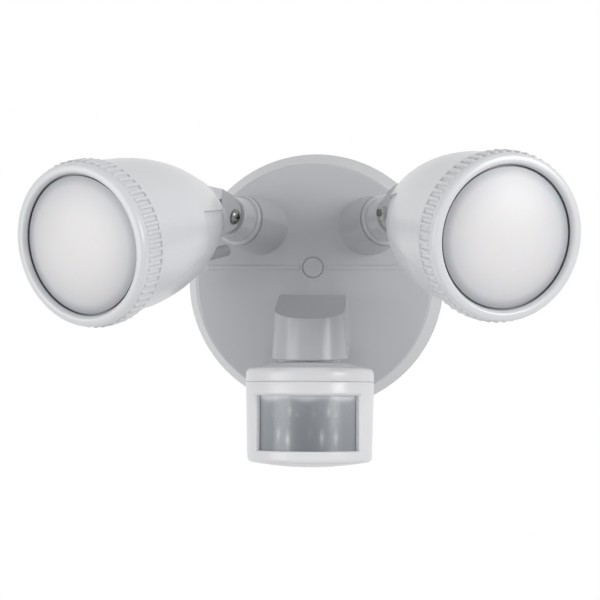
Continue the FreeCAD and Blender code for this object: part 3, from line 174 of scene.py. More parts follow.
def softEdgeGroup():
    # rounds hard edges in the shading and adds the fine skin of the finish
    number, vector = "NodeSocketFloat", "NodeSocketVector"
    group, inside, outside = newGroup(
        "softEdges",
        [
            ("Edge Radius", number, 0.0006),
            ("Grain Size", number, 2200.0),
            ("Grain Depth", number, 0.00001),
        ],
        [("Normal", vector)],
    )
    bevel = add(group, "ShaderNodeBevel", {"samples": 6})
    coords = add(group, "ShaderNodeTexCoord")
    grain = add(group, "ShaderNodeTexNoise", Detail=3.0, Roughness=0.55)
    bump = add(group, "ShaderNodeBump", Strength=1.0)
    link(
        group,
        (inside.outputs["Edge Radius"], bevel.inputs["Radius"]),
        (coords.outputs["Object"], grain.inputs["Vector"]),
        (inside.outputs["Grain Size"], grain.inputs["Scale"]),
        (grain.outputs["Fac"], bump.inputs["Height"]),
        (inside.outputs["Grain Depth"], bump.inputs["Distance"]),
        (bevel.outputs["Normal"], bump.inputs["Normal"]),
        (bump.outputs["Normal"], outside.inputs["Normal"]),
    )
    return group


def toneGroup():
    # slow drift of tone over a moulding, and the dust that settles on it
    number, colour = "NodeSocketFloat", "NodeSocketColor"
    group, inside, outside = newGroup(
        "mouldTone",
        [("Base", colour, (0.6, 0.6, 0.6, 1)), ("Drift", number, 0.04), ("Scale", number, 18.0)],
        [("Color", colour), ("Mottle", number)],
    )
    coords = add(group, "ShaderNodeTexCoord")
    cloud = add(group, "ShaderNodeTexNoise", Detail=4.0, Roughness=0.5)
    shift = add(group, "ShaderNodeMath", {"operation": "SUBTRACT"})
    shift.inputs[1].default_value = 0.5
    amount = add(group, "ShaderNodeMath", {"operation": "MULTIPLY"})
    level = add(group, "ShaderNodeMath", {"operation": "ADD"})
    level.inputs[1].default_value = 1.0
    tinted = add(group, "ShaderNodeVectorMath", {"operation": "SCALE"})
    link(
        group,
        (coords.outputs["Object"], cloud.inputs["Vector"]),
        (inside.outputs["Scale"], cloud.inputs["Scale"]),
        (cloud.outputs["Fac"], shift.inputs[0]),
        (shift.outputs[0], amount.inputs[0]),
        (inside.outputs["Drift"], amount.inputs[1]),
        (amount.outputs[0], level.inputs[0]),
        (inside.outputs["Base"], tinted.inputs[0]),
        (level.outputs[0], tinted.inputs["Scale"]),
        (tinted.outputs[0], outside.inputs["Color"]),
        (cloud.outputs["Fac"], outside.inputs["Mottle"]),
    )
    return group


softEdges = softEdgeGroup()
mouldTone = toneGroup()


def finish(name, look):
    # one finish from its dictionary
    material = newMaterial(name)
    tree = material.node_tree
    out = add(tree, "ShaderNodeOutputMaterial")
    shader = add(tree, "ShaderNodeBsdfPrincipled", IOR=1.5)
    edges = add(tree, "ShaderNodeGroup", {"node_tree": softEdges})
    tone = add(tree, "ShaderNodeGroup", {"node_tree": mouldTone})
    rough = add(tree, "ShaderNodeMapRange")
    edges.inputs["Edge Radius"].default_value = look["edge"] * mm
    edges.inputs["Grain Size"].default_value = look["grainSize"]
    edges.inputs["Grain Depth"].default_value = look["grainDepth"] * mm
    tone.inputs["Base"].default_value = (*look["colour"], 1)
    tone.inputs["Drift"].default_value = look.get("drift", 0.05)
    tone.inputs["Scale"].default_value = 30
    rough.inputs["To Min"].default_value = look["rough"] - 0.04
    rough.inputs["To Max"].default_value = look["rough"] + 0.04
    shader.inputs["Metallic"].default_value = look.get("metal", 0)
    shader.inputs["Coat Weight"].default_value = look.get("coat", 0)
    shader.inputs["Coat Roughness"].default_value = look.get("coatRough", 0.2)
    link(
        tree,
        (edges.outputs["Normal"], shader.inputs["Normal"]),
        (tone.outputs["Color"], shader.inputs["Base Color"]),
        (tone.outputs["Mottle"], rough.inputs["Value"]),
        (rough.outputs["Result"], shader.inputs["Roughness"]),
        (shader.outputs["BSDF"], out.inputs["Surface"]),
    )
    return material


def plainLook(colour, rough, edge, grainSize, grainDepth, **more):
    # edge and grain depth in millimetres
    basic = dict(colour=colour, rough=rough, edge=edge, grainSize=grainSize, grainDepth=grainDepth)
    return {**basic, **more}


# shell, arm and canopy are one grey paint: arm and canopy are darker copies of it, painted shade for the
# shade and occlusion that fall on them
finishes = {
    "shell": plainLook((0.70, 0.705, 0.72), 0.3, 0.6, 1400, 0.006, coat=0.3),
    "arm": plainLook((0.52, 0.525, 0.54), 0.3, 0.7, 1400, 0.006, coat=0.3),
    "canopy": plainLook((0.50, 0.505, 0.52), 0.3, 1.1, 1400, 0.006, coat=0.15, drift=0.03),
    "grey_seal": plainLook((0.40, 0.40, 0.41), 0.6, 0.2, 1800, 0.01),
    "sensor_plastic": plainLook((0.76, 0.76, 0.775), 0.3, 0.6, 2600, 0.003),
    "steel": plainLook((0.55, 0.55, 0.54), 0.34, 0.2, 900, 0.004, metal=1),
    "dark_screw": plainLook((0.20, 0.20, 0.205), 0.28, 0.15, 1500, 0.003, metal=1),
    "seal": plainLook((0.06, 0.06, 0.065), 0.72, 0.2, 1800, 0.01),
    "foam": plainLook((0.09, 0.09, 0.095), 0.9, 0.2, 900, 0.06),
    "bare_aluminium": plainLook((0.72, 0.73, 0.74), 0.4, 0.2, 700, 0.01, metal=1),
    "reflector": plainLook((0.9, 0.9, 0.9), 0.12, 0.1, 400, 0.004, metal=1),
    "board": plainLook((0.80, 0.80, 0.78), 0.45, 0.1, 900, 0.004),
    "green_board": plainLook((0.03, 0.16, 0.06), 0.4, 0.1, 700, 0.01),
    "chips": plainLook((0.85, 0.62, 0.10), 0.3, 0.1, 1500, 0.004),
    "black_plastic": plainLook((0.02, 0.02, 0.021), 0.42, 0.25, 1500, 0.008),
    "clear_lamp": plainLook((0.45, 0.02, 0.02), 0.2, 0.1, 900, 0.002),
}
materials = {name: finish(name, look) for name, look in finishes.items()}


def frostedLens(look):
    # milky diffuser: paler in the middle, cooler and greyer towards its edge; the darker edge colour is
    # painted shade under the bezel lip
    material = newMaterial("frosted_lens")
    tree = material.node_tree
    out = add(tree, "ShaderNodeOutputMaterial")
    shader = add(tree, "ShaderNodeBsdfPrincipled")
    edge = add(tree, "ShaderNodeAttribute", {"attribute_name": "fromCentre"})
    ramp = add(tree, "ShaderNodeValToRGB")
    ramp.color_ramp.interpolation = "B_SPLINE"
    stops = ramp.color_ramp.elements
    stops[0].position, stops[0].color = 0.45, (*look["middle"], 1)
    stops[1].position, stops[1].color = 1.0, (*look["edge"], 1)
    between = stops.new(0.86)
    between.color = (*look["between"], 1)
    coords = add(tree, "ShaderNodeTexCoord")
    frost = add(tree, "ShaderNodeTexNoise", Scale=look["frostSize"], Detail=2.0)
    bump = add(tree, "ShaderNodeBump", Strength=1.0, Distance=look["frostDepth"] * mm)
    shader.inputs["Roughness"].default_value = look["rough"]
    shader.inputs["Subsurface Weight"].default_value = look["milk"]
    shader.inputs["Subsurface Scale"].default_value = 0.004
    shader.inputs["Coat Weight"].default_value = look["coat"]
    shader.inputs["Coat Roughness"].default_value = look["coatRough"]
    link(
        tree,
        (edge.outputs["Fac"], ramp.inputs["Fac"]),
        (ramp.outputs["Color"], shader.inputs["Base Color"]),
        (coords.outputs["Object"], frost.inputs["Vector"]),
        (frost.outputs["Fac"], bump.inputs["Height"]),
        (bump.outputs["Normal"], shader.inputs["Normal"]),
        (shader.outputs["BSDF"], out.inputs["Surface"]),
    )
    return material


materials["frosted_lens"] = frostedLens(
    dict(
        middle=(0.80, 0.78, 0.78),
        between=(0.68, 0.68, 0.70),
        # edge: the darker rim colour, painted shade under the bezel lip
        edge=(0.30, 0.31, 0.33),
        frostSize=900,
        frostDepth=0.006,
        rough=0.42,
        milk=0.3,
        coat=0.25,
        coatRough=0.3,
    )
)


def windowWithPaintedLight(look):
    # painted highlights: the facets' glints and sheen drawn as a paler colour over the window's dark
    # colour, which is its smoky tint and painted shade of the hollow behind it
    material = finish("window", look)
    tree = material.node_tree
    shader = next(node for node in tree.nodes if node.type == "BSDF_PRINCIPLED")
    glow = add(tree, "ShaderNodeAttribute", {"attribute_name": "glow"})
    shade = add(tree, "ShaderNodeMix", {"data_type": "RGBA"})
    for socket in shade.inputs:
        if socket.type == "RGBA" and socket.name == "A":
            socket.default_value = (*look["colour"], 1)
        if socket.type == "RGBA" and socket.name == "B":
            socket.default_value = (*look["bright"], 1)
    mixed = next(socket for socket in shade.outputs if socket.type == "RGBA")
    link(tree, (glow.outputs["Fac"], shade.inputs["Factor"]), (mixed, shader.inputs["Base Color"]))
    return material


# the window's dark colour is its smoky tint and painted shade of the hollow behind it; the second colour
# is that of its painted glints and sheen
windowLook = plainLook((0.06, 0.073, 0.092), 0.34, 0.05, 900, 0.002, coat=0.35, coatRough=0.12)
windowLook["bright"] = (0.85, 0.87, 0.90)
materials["window"] = windowWithPaintedLight(windowLook)


def dressNodes():
    # each node in its slot's finish, then the pieces that take another finish: the seals and grommets in
    # grey, and the canopy and arms in darker copies of the shell paint, painted shade
    for entry in frame["record"]["subparts"]:
        piece, look = nodes[entry["node"]], materials[entry["material_slot"]]
        for slot in piece.material_slots:
            slot.material = look
        if not piece.material_slots:
            piece.data.materials.append(look)
    # canopy and arms: darker copies of the shell paint, painted shade
    ownLooks = {"canopy_shell": "canopy"}
    for side in ("left", "right"):
        ownLooks.update({side + "_arm_seal": "grey_seal", side + "_lead_grommet": "grey_seal"})
        ownLooks.update({side + "_arm": "arm", side + "_tilt_bracket": "arm"})
    for name, look in ownLooks.items():
        nodes[name].material_slots[0].material = materials[look]


dressNodes()
print("finishes set")


# lamp heads: heights along the lamp from its knuckle screw, and radii, in millimetres

head = {
    "yaw": {"left": 29.4, "right": 25.6},  # degrees outwards
    "drop": {"left": 9.2, "right": 7.5},  # degrees down
    "seam": 96.6,
    "front": 109.0,
    "band": 37.2,
    "lip": 37.7,
    "opening": 32.5,
    "skin": 34.6,
}
grip = {
    # the bezel's ribs; the section is (across, out from the band)
    "count": 60,
    "aboveSeam": 0.5,
    "belowLens": 2.4,
    "section": [
        (-1.05, -0.5), (-0.95, 0.75), (-0.62, 1.3), (0, 1.5), (0.62, 1.3), (0.95, 0.75), (1.05, -0.5)
    ],
}
lens = {
    "inset": 1.2,
    "crown": 3.2,
    "gap": 0.95,
    "seat": 33.9,
    "skin": 2.4,
    "ledge": 1.5,
    "steps": 24,
}


def headPlace(side):
    # knuckle screw at the origin, X along the screw, Z the way the lamp points
    sign = -1 if side == "left" else 1
    yaw, drop = math.radians(head["yaw"][side]), math.radians(head["drop"][side])
    level = math.cos(drop)
    ahead = Vector((sign * math.sin(yaw) * level, -math.cos(yaw) * level, -math.sin(drop)))
    joint = joints[side + "_head_tilt"]
    screw = Vector(joint["axis"]).normalized()
    up = ahead.cross(screw).normalized()
    screw = up.cross(ahead)
    turn = Matrix((screw, up, ahead)).transposed().to_4x4()
    return Matrix.Translation(Vector(joint["pos_m"])) @ turn


def ribRingGroup():
    # copies one rib evenly round Z and joins the copies to the ring
    group = bpy.data.node_groups.new("ribRing", "GeometryNodeTree")
    group.is_modifier = True
    names = {}
    for word, kind in (("Ring", "Geometry"), ("Rib", "Object"), ("Count", "Int"), ("Finish", "Material")):
        kind = "NodeSocket" + kind
        socket = group.interface.new_socket(name=word, in_out="INPUT", socket_type=kind)
        names[word] = socket.identifier
    group.interface.new_socket(name="Ring", in_out="OUTPUT", socket_type="NodeSocketGeometry")
    inside, outside = add(group, "NodeGroupInput"), add(group, "NodeGroupOutput")
    spots = add(group, "GeometryNodeMeshLine", Offset=(0, 0, 0))
    number = add(group, "GeometryNodeInputIndex")
    share = add(group, "ShaderNodeMath", {"operation": "DIVIDE"})
    angle = add(group, "ShaderNodeMath", {"operation": "MULTIPLY"})
    angle.inputs[1].default_value = 2 * math.pi
    aboutZ = add(group, "ShaderNodeCombineXYZ")
    turn = add(group, "FunctionNodeEulerToRotation")
    rib = add(group, "GeometryNodeObjectInfo")
    copies = add(group, "GeometryNodeInstanceOnPoints")
    joined = add(group, "GeometryNodeJoinGeometry")
    real = add(group, "GeometryNodeRealizeInstances")
    dressed = add(group, "GeometryNodeSetMaterial")
    link(
        group,
        (inside.outputs["Count"], spots.inputs["Count"]),
        (number.outputs[0], share.inputs[0]),
        (inside.outputs["Count"], share.inputs[1]),
        (share.outputs[0], angle.inputs[0]),
        (angle.outputs[0], aboutZ.inputs["Z"]),
        (aboutZ.outputs[0], turn.inputs[0]),
        (inside.outputs["Rib"], rib.inputs["Object"]),
        (spots.outputs["Mesh"], copies.inputs["Points"]),
        (rib.outputs["Geometry"], copies.inputs["Instance"]),
        (turn.outputs[0], copies.inputs["Rotation"]),
        (inside.outputs["Ring"], joined.inputs[0]),
        (copies.outputs[0], joined.inputs[0]),
        (joined.outputs[0], real.inputs[0]),
        (real.outputs[0], dressed.inputs["Geometry"]),
        (inside.outputs["Finish"], dressed.inputs["Material"]),
        (dressed.outputs[0], outside.inputs["Ring"]),
    )
    return group, names


ribRing, ribRingInputs = ribRingGroup()


def settle(piece, place):
    # the modifier's result as a plain mesh, carried to its place
    evaluated = piece.evaluated_get(bpy.context.evaluated_depsgraph_get())
    mesh = bpy.data.meshes.new_from_object(evaluated)
    piece.modifiers.clear()
    piece.data = mesh
    mesh.transform(place)
    return piece


def makeBezel(side):
    seam, front = head["seam"], head["front"]
    lip, opening, band, skin = head["lip"], head["opening"], head["band"], head["skin"]
    profile = softProfile(
        [
            (skin, seam + 0.1),
            (band + 0.9, seam + 0.1, 0.5),
            (band + 0.9, seam + 0.9, 0.4),
            (band, seam + 1.0, 0.3),
            (band, front - 3.0, 0.4),
            (lip + 0.1, front - 2.6, 0.9),
            (lip - 0.35, front + 1.35, 2.2),
            (opening + 0.9, front + 1.65, 1.6),
            (opening, front - 0.6, 0.5),
            (opening, front - 1.2),
            (skin, front - 1.2),
        ],
        steps=6,
    )
    ring = turned(side + "_bezel", profile, still, materials["shell"], turns=240)
    rib = makeRib(seam + grip["aboveSeam"], front - grip["belowLens"], band)
    modifier = ring.modifiers.new("ribs", "NODES")
    modifier.node_group = ribRing
    modifier[ribRingInputs["Rib"]] = rib
    modifier[ribRingInputs["Count"]] = grip["count"]
    modifier[ribRingInputs["Finish"]] = materials["shell"]
    settle(ring, headPlace(side))
    bpy.data.objects.remove(rib)
    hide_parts(side + "_bezel_ring")
    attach(ring, side + "_head")


def makeRib(low, high, band):
    # one grip rib on the X axis: a rounded bar with sloping ends
    stations = [(low, 0.35), (low + 0.35, 0.8), (low + 1.1, 1.0)]
    stations += [(high - 1.2, 1.0), (high - 0.4, 0.85), (high, 0.5)]
    bm = bmesh.new()
    rows = []
    for z, rise in stations:
        row = []
        for across, out in grip["section"]:
            radius = band + (out * rise if out > 0 else out)
            row.append(bm.verts.new(aroundZ(radius, across / band, z)))
        rows.append(row)
    joinRows(bm, rows)
    bm.faces.new(list(reversed(rows[0])))
    bm.faces.new(rows[-1])
    return finishMesh(bm, "rib", still, materials["shell"])


def makeLens(side):
    place = headPlace(side)
    face, sight = head["front"] - lens["inset"], head["opening"] - lens["gap"]
    crown, seat, rear, ledge = lens["crown"], lens["seat"], face - lens["skin"], face - lens["ledge"]
    ball = (sight * sight + crown * crown) / (2 * crown)
    profile = [(0, rear), (seat, rear), (seat, ledge), (sight, ledge), (sight, face)]
    for i in range(1, lens["steps"] + 1):
        radius = sight * (1 - i / lens["steps"])
        profile.append((radius, face + crown - ball + math.sqrt(ball * ball - radius * radius)))
    piece = turned(side + "_lens", profile, place, materials["frosted_lens"], sharpAt=60)
    tag = piece.data.attributes.new("fromCentre", "FLOAT", "POINT")
    back = place.inverted()
    for vert in piece.data.vertices:
        local = back @ vert.co
        tag.data[vert.index].value = math.hypot(local.x, local.y) / (sight * mm)
    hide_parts(side + "_diffuser_lens")
    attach(piece, side + "_head")


for side in ("left", "right"):
    makeBezel(side)
    makeLens(side)
print("lamp heads dressed")


# sensor: measured from the centre of its ball, in millimetres and degrees

sensor = {
    "front": 32.7,
    "back": 22.0,
    "seam": -16.6,
    "seamRound": [(0.55, 0.0), (0.12, 0.12), (0.0, 0.45)],
    "draft": 1.3,
    "edge": -54.8,
    "edgeRound": 2.4,
    "crownBall": 161.3,
    "inside": 29.4,
    "floor": -55.4,
    "shoulder": -9.5,
    "shoulderRound": 3.0,
    "capSkin": 1.4,
    "capCeiling": -10.0,
    "knobs": (11.0, 3.2),
    "knobWell": [(0, -63), (5.0, -63), (5.0, -56.5), (2.5, -56.5), (2.5, -54), (0, -54)],
}
disc = {
    # raised disc on the cap; the profile is (radius, height)
    "radius": 21.2,
    "foot": -7.75,
    "profile": [
        (21.0, -7.6), (20.4, -7.3), (17.2, -6.88), (16.1, -6.88), (16.0, -6.98), (9.1, -6.98), (9.1, -10.0)
    ],
}
window = {
    # the opening, its bevel, and the lens that laps behind it
    "top": -23.6,
    "foot": -51.0,
    "half": 54.5,
    "bevel": 2.2,
    "bevelHalf": 3.6,
    "bevelDepth": 1.3,
    "lap": 1.6,
    "lapHalf": 3.6,
    "gap": 0.15,
    "depth": 1.0,
    "relief": 0.05,
    "columns": 160,
    "rows": 80,
}


def sensorPlace():
    joint = joints["sensor_pan"]
    up = Vector(joint["axis"]).normalized()
    right = Vector((1, 0, 0))
    turn = Matrix((right, up.cross(right), up)).transposed().to_4x4()
    return Matrix.Translation(Vector(joint["pos_m"])) @ turn


def planRing(front, back, height, share=1, steps=96):
    # half circle in front, flatter arc behind, drawn in to a share of its size
    angles = [math.pi * i / steps for i in range(steps)]
    ring = [(front * math.cos(t), -front * math.sin(t)) for t in angles]
    ball = (front * front + back * back) / (2 * back)
    reach = math.asin(min(front / ball, 1))
    for i in range(steps):
        t = -reach + 2 * reach * i / steps
        ring.append((ball * math.sin(t), back - ball + ball * math.cos(t)))
    return [(x * share, y * share, height) for x, y in ring]


def quarter(radius, steps=8):
    # a quarter round as (inset, drop) pairs
    angles = [math.pi / 2 * i / steps for i in range(1, steps + 1)]
    return [(radius * (1 - math.cos(t)), radius * math.sin(t)) for t in angles]


def loft(name, rings, place, material, sharpAt=40):
    # closed rings of equal count joined one after another, the last back to the first
    bm = bmesh.new()
    rows = [[bm.verts.new((x * mm, y * mm, z * mm)) for x, y, z in ring] for ring in rings]
    joinRows(bm, rows + rows[:1])
    return finishMesh(bm, name, place, material, sharpAt=sharpAt)


def housingRings():
    # from the seam down the wall to the domed floor, and back up inside
    front, back, seam, edge = (sensor[word] for word in ("front", "back", "seam", "edge"))
    slope = math.tan(math.radians(sensor["draft"]))
    side = [(inset, seam - drop) for inset, drop in sensor["seamRound"]]
    side += [((seam - z) * slope, z) for z in (seam - 8, seam - 20, edge)]
    start = side[-1][0]
    side += [(start + inset, edge - drop) for inset, drop in quarter(sensor["edgeRound"])]
    rings = [planRing(front - inset, back - inset, z) for inset, z in side]
    inset, foot = side[-1]
    ball, reach = sensor["crownBall"], front - inset
    for share in (0.9, 0.7, 0.45, 0.2, 0.001):
        dip = math.sqrt(ball**2 - (reach * share) ** 2) - math.sqrt(ball**2 - reach**2)
        rings.append(planRing(reach, back - inset, foot - dip, share))
    inside, behind, floor = sensor["inside"], back - front + sensor["inside"], sensor["floor"]
    rings.append(planRing(inside, behind, floor, 0.001))
    rings.append(planRing(inside, behind, floor))
    rings.append(planRing(inside, behind, seam))
    return rings


def capRings():
    # from the seam up over the shoulder to the disc, and back down inside
    front, back, seam = (sensor[word] for word in ("front", "back", "seam"))
    shoulder, rounding = sensor["shoulder"], sensor["shoulderRound"]
    side = [(inset, seam + rise) for inset, rise in sensor["seamRound"]]
    side.append((0.0, shoulder - rounding))
    side += [(inset, shoulder - rounding + rise) for inset, rise in quarter(rounding)]
    rings = [planRing(front - inset, back - inset, z) for inset, z in side]
    foot = planRing(disc["radius"], disc["radius"], disc["foot"])
    for share in (0.5, 0.9):
        rings.append([tuple(Vector(a).lerp(Vector(b), share)) for a, b in zip(rings[-1], foot)])
    rings += [planRing(radius, radius, z) for radius, z in disc["profile"]]
    inside = sensor["inside"] - sensor["capSkin"]
    behind = back - front + sensor["inside"] - sensor["capSkin"]
    return rings + [planRing(inside, behind, z) for z in (sensor["capCeiling"], seam)]


def makeCap():
    cap = loft("sensor_top", capRings(), sensorPlace(), materials["sensor_plastic"], sharpAt=32)
    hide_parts("sensor_cap")
    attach(cap, "sensor")


def curvedBlock(name, stations, steps=48):
    # a block bent round Z: stations of (radius, half angle, foot, top)
    bm = bmesh.new()
    rows = []
    for radius, half, foot, top in stations:
        angles = [math.radians(-half + 2 * half * i / steps) for i in range(steps + 1)]
        row = [(t, foot) for t in angles] + [(t, top) for t in reversed(angles)]
        rows.append([bm.verts.new(fromFront(radius, t, z)) for t, z in row])
    joinRows(bm, rows)
    count = len(rows[0])
    for row in (rows[0], rows[-1]):
        for i in range(steps):
            bm.faces.new((row[i], row[i + 1], row[count - 2 - i], row[count - 1 - i]))
    return finishMesh(bm, name, still, materials["sensor_plastic"], smooth=False)


def windowCutter():
    # the window's opening, its rim sloping outwards
    top, foot, half, bevel = (window[word] for word in ("top", "foot", "half", "bevel"))
    stations = [
        (sensor["inside"] - 3, half, foot, top),
        (sensor["front"] - window["bevelDepth"], half, foot, top),
        (sensor["front"] + 1, half + window["bevelHalf"], foot - bevel, top + bevel),
    ]
    return curvedBlock("window_cut", stations)


def knobCutter(sign):
    across, behind = sensor["knobs"]
    spot = Matrix.Translation((sign * across * mm, behind * mm, 0))
    return turned("knob_well", sensor["knobWell"], spot, materials["sensor_plastic"], turns=64)


def makeHousing():
    shell = loft("sensor_shell", housingRings(), still, materials["sensor_plastic"])
    cutters = [windowCutter(), knobCutter(-1), knobCutter(1)]
    for cutter in cutters:
        cut = shell.modifiers.new("cut", "BOOLEAN")
        cut.operation = "DIFFERENCE"
        cut.solver = "EXACT"
        cut.object = cutter
    settle(shell, sensorPlace())
    shell.data.set_sharp_from_angle(angle=math.radians(32))
    for cutter in cutters:
        bpy.data.objects.remove(cutter)
    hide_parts("sensor_housing")
    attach(shell, "sensor")


# upper and lower row of facets; a row's pitch is in degrees, its middle a share of the height, its glow
# the strength of its painted glints
facetRows = [
    {"pitch": 13.0, "middle": 0.74, "shift": 0.0, "glow": 0.22, "tall": 2.4},
    {"pitch": 15.5, "middle": 0.34, "shift": 0.5, "glow": 0.42, "tall": 3.0},
]
facets = {
    "split": 0.62,
    "mmPerDegree": 0.51,
    "ringPitch": 1.15,
    "glintZoneAt": 22,
    "glintZoneWidth": 13,
    "stray": 1.6,
    "spotWidth": 0.9,
    "spotDrop": 2,
    "bandAt": 0.94,
    "bandWave": 0.03,
    "sheenAt": 36,
    "sheenWidth": 3.5,
}


def softStep(value, width):
    # from 0 to 1 over a few widths
    return 1 / (1 + math.exp(-value / width))


def facet(angle, height):
    # painted highlight and depth of the window's moulded facets, at degrees and share of its height:
    # glints in a zone either side of the middle, sheen towards the sides and the top, and a pale band
    # along the top edge, all painted light
    number = 0 if height > facets["split"] else 1
    row = facetRows[number]
    cell = math.floor(angle / row["pitch"] + row["shift"])
    centre = (cell + 0.5 - row["shift"]) * row["pitch"]
    across = (angle - centre) * facets["mmPerDegree"]
    up = (height - row["middle"]) * (window["top"] - window["foot"])
    ring = math.hypot(across, up) / facets["ringPitch"]
    depth = ring - math.floor(ring)
    # the zone where the painted glints fall
    glintZone = math.exp(-(((abs(angle) - facets["glintZoneAt"]) / facets["glintZoneWidth"]) ** 2))
    stray = math.sin(cell * 2.4 + number) * facets["stray"]
    narrow = abs((across - stray) / facets["spotWidth"]) ** 1.3
    tall = abs((up + facets["spotDrop"] - stray) / row["tall"]) ** 1.6
    spot = math.exp(-narrow - tall)
    wave = facets["bandWave"] * math.cos(math.radians(angle * 9))
    band = softStep(height - facets["bandAt"] + wave, 1 / 45)
    # painted sheen: paler beyond the sides, where the window turns away, and towards the top
    sides = 0.13 * softStep(abs(angle) - facets["sheenAt"], facets["sheenWidth"])
    paintedSheen = 0.10 + sides + 0.10 * height * height + 0.04 * depth
    return min(paintedSheen + glintZone * (0.06 + spot * row["glow"]) + 0.4 * band, 1), depth


def windowSheet(bm, radius, relief, glow):
    # one side of the window as rows of points; notes each point's painted highlight
    columns, rows = window["columns"], window["rows"]
    top, foot = window["top"] + window["lap"], window["foot"] - window["lap"]
    half, height = window["half"] + window["lapHalf"], window["top"] - window["foot"]
    sheet = []
    for j in range(rows + 1):
        z = foot + (top - foot) * j / rows
        line = []
        for i in range(columns + 1):
            angle = -half + 2 * half * i / columns
            paintedShine, depth = facet(angle, (z - window["foot"]) / height)
            line.append(bm.verts.new(fromFront(radius - relief * depth, math.radians(angle), z)))
            glow.append(paintedShine)
        sheet.append(line)
    for low, high in zip(sheet, sheet[1:]):
        for i in range(columns):
            bm.faces.new((low[i], low[i + 1], high[i + 1], high[i]))
    return sheet


def rimOf(sheet):
    # the sheet's outer points, once round
    up = [line[-1] for line in sheet[1:-1]]
    down = [line[0] for line in reversed(sheet[1:-1])]
    return sheet[0] + up + list(reversed(sheet[-1])) + down


def makeWindow():
    bm = bmesh.new()
    glow = []
    outer = windowSheet(bm, sensor["inside"] - window["gap"], window["relief"], glow)
    inner = windowSheet(bm, sensor["inside"] - window["depth"], 0, glow)
    joinRows(bm, [rimOf(outer), rimOf(inner)])
    piece = finishMesh(bm, "sensor_window", sensorPlace(), materials["window"], sharpAt=75)
    # each point's painted highlight, read by the window's colour
    tag = piece.data.attributes.new("glow", "FLOAT", "POINT")
    for point, paintedShine in zip(tag.data, glow):
        point.value = paintedShine
    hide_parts("sensor_lens")
    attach(piece, "sensor")


# radii and depths in millimetres; proud of the solid it stands for
plug = {"stem": 4.0, "head": 5.5, "headDepth": 1.6, "proud": 0.45, "round": 0.5}


def makePlug():
    # snap plug, all but filling its recess
    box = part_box("bolt_plug")
    middle = [(low + high) / 2 for low, high in zip(*box)]
    front, rear = -box[0][1] / mm, -box[1][1] / mm
    shelf, face = front - plug["headDepth"], front + plug["proud"]
    place = Matrix.Translation((middle[0], 0, middle[2])) @ Matrix.Rotation(math.pi / 2, 4, "X")
    stem, wide = plug["stem"], plug["head"]
    profile = softProfile(
        [(0, rear), (stem, rear), (stem, shelf), (wide, shelf), (wide, face, plug["round"]), (0, face)]
    )
    # in the canopy's darker paint, which carries painted shade
    piece = turned("plug", profile, place, materials["canopy"], turns=96)
    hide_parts("bolt_plug")
    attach(piece, "canopy")


makeCap()
makeHousing()
makeWindow()
makePlug()
print("sensor and canopy dressed")


# floor, light and camera

stage = {
    "floorDrop": -0.42,
    "floorHalf": 0.8,
    "worldLevel": 0.40,
    "aim": (0, -0.05, 0),
}
softboxes = {
    "key": {"at": (1.0, -0.75, 0.25), "size": (0.5, 0.5), "power": 7.4},
    "fill": {"at": (-1.0, -0.8, 0.0), "size": (0.8, 0.8), "power": 6.5},
    "top": {"at": (0.05, -0.25, 1.0), "size": (0.8, 0.5), "power": 1.0},
}
view = {
    "lens": 89.67,
    "at": (0.04179, -0.82403, 0.00988),
    "right": (0.99811, 0.06140, 0.0),
    "up": (-0.00149, 0.02421, 0.99971),
    "ahead": (-0.06138, 0.99782, -0.02426),
}


def seenDirectly(tree):
    # 1 for rays from the camera, from gloss and through glass
    path = add(tree, "ShaderNodeLightPath")
    either = add(tree, "ShaderNodeMath", {"operation": "MAXIMUM"})
    anyOf = add(tree, "ShaderNodeMath", {"operation": "MAXIMUM"})
    link(
        tree,
        (path.outputs["Is Camera Ray"], either.inputs[0]),
        (path.outputs["Is Glossy Ray"], either.inputs[1]),
        (either.outputs[0], anyOf.inputs[0]),
        (path.outputs["Is Transmission Ray"], anyOf.inputs[1]),
    )
    return anyOf.outputs[0]


def whiteToCamera(name, colour):
    # plain pale surface, pure white where the camera, gloss or glass sees it
    material = newMaterial(name)
    tree = material.node_tree
    out = add(tree, "ShaderNodeOutputMaterial")
    plain = add(tree, "ShaderNodeBsdfDiffuse", Color=(*colour, 1))
    glow = add(tree, "ShaderNodeEmission", Color=(1, 1, 1, 1), Strength=1.0)
    mix = add(tree, "ShaderNodeMixShader")
    link(
        tree,
        (seenDirectly(tree), mix.inputs["Fac"]),
        (plain.outputs[0], mix.inputs[1]),
        (glow.outputs[0], mix.inputs[2]),
        (mix.outputs[0], out.inputs["Surface"]),
    )
    return material


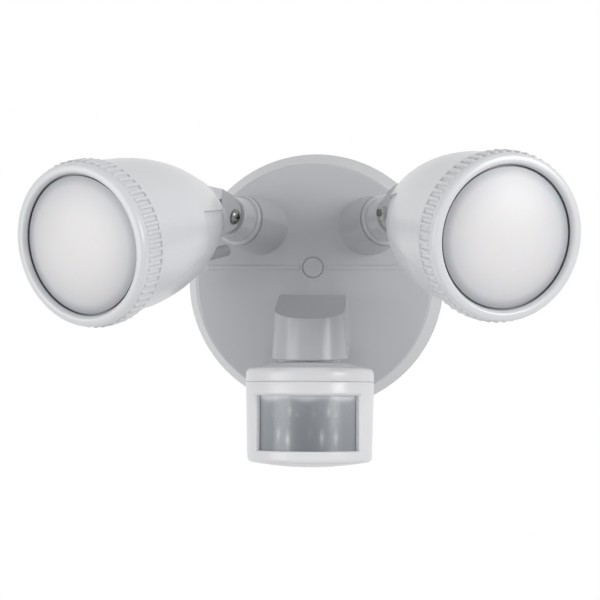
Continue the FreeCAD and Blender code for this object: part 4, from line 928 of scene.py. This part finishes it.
def makeFloor():
    bm = bmesh.new()
    half, z = stage["floorHalf"], stage["floorDrop"]
    corners = ((-half, -half), (half, -half), (half, half), (-half, half))
    bm.faces.new([bm.verts.new((x, y, z)) for x, y in corners])
    paper = whiteToCamera("paper", (0.8, 0.8, 0.8))
    floor = finishMesh(bm, "floor", still, paper, smooth=False)


def makeWorld(level):
    world = bpy.data.worlds.new("studio")
    bpy.context.scene.world = world
    world.use_nodes = True
    tree = world.node_tree
    tree.nodes.clear()
    out = add(tree, "ShaderNodeOutputWorld")
    seen = add(tree, "ShaderNodeBackground", Color=(1, 1, 1, 1), Strength=1.0)
    fill = add(tree, "ShaderNodeBackground", Color=(0.97, 0.98, 1.0, 1), Strength=level)
    mix = add(tree, "ShaderNodeMixShader")
    link(
        tree,
        (seenDirectly(tree), mix.inputs["Fac"]),
        (fill.outputs[0], mix.inputs[1]),
        (seen.outputs[0], mix.inputs[2]),
        (mix.outputs[0], out.inputs["Surface"]),
    )


def makeSoftbox(name, look):
    lamp = bpy.data.lights.new(name, "AREA")
    lamp.shape = "RECTANGLE"
    lamp.size, lamp.size_y = look["size"]
    lamp.energy = look["power"]
    box = bpy.data.objects.new(name, lamp)
    box.location = look["at"]
    aim = Vector(stage["aim"]) - Vector(look["at"])
    box.rotation_euler = aim.to_track_quat("-Z", "Y").to_euler()
    bpy.context.scene.collection.objects.link(box)


def makeCamera():
    camera = bpy.data.cameras.new("camera")
    camera.sensor_width = 36
    camera.lens = view["lens"]
    camera.clip_start = 0.01
    holder = bpy.data.objects.new("camera", camera)
    right, up, ahead = (Vector(view[word]) for word in ("right", "up", "ahead"))
    turn = Matrix((right, up, -ahead)).transposed().to_4x4()
    holder.matrix_world = Matrix.Translation(view["at"]) @ turn
    bpy.context.scene.collection.objects.link(holder)
    bpy.context.scene.camera = holder


makeFloor()
makeWorld(stage["worldLevel"])
for name, look in softboxes.items():
    makeSoftbox(name, look)
makeCamera()
bpy.context.scene.view_settings.view_transform = "Standard"
print("stage set")
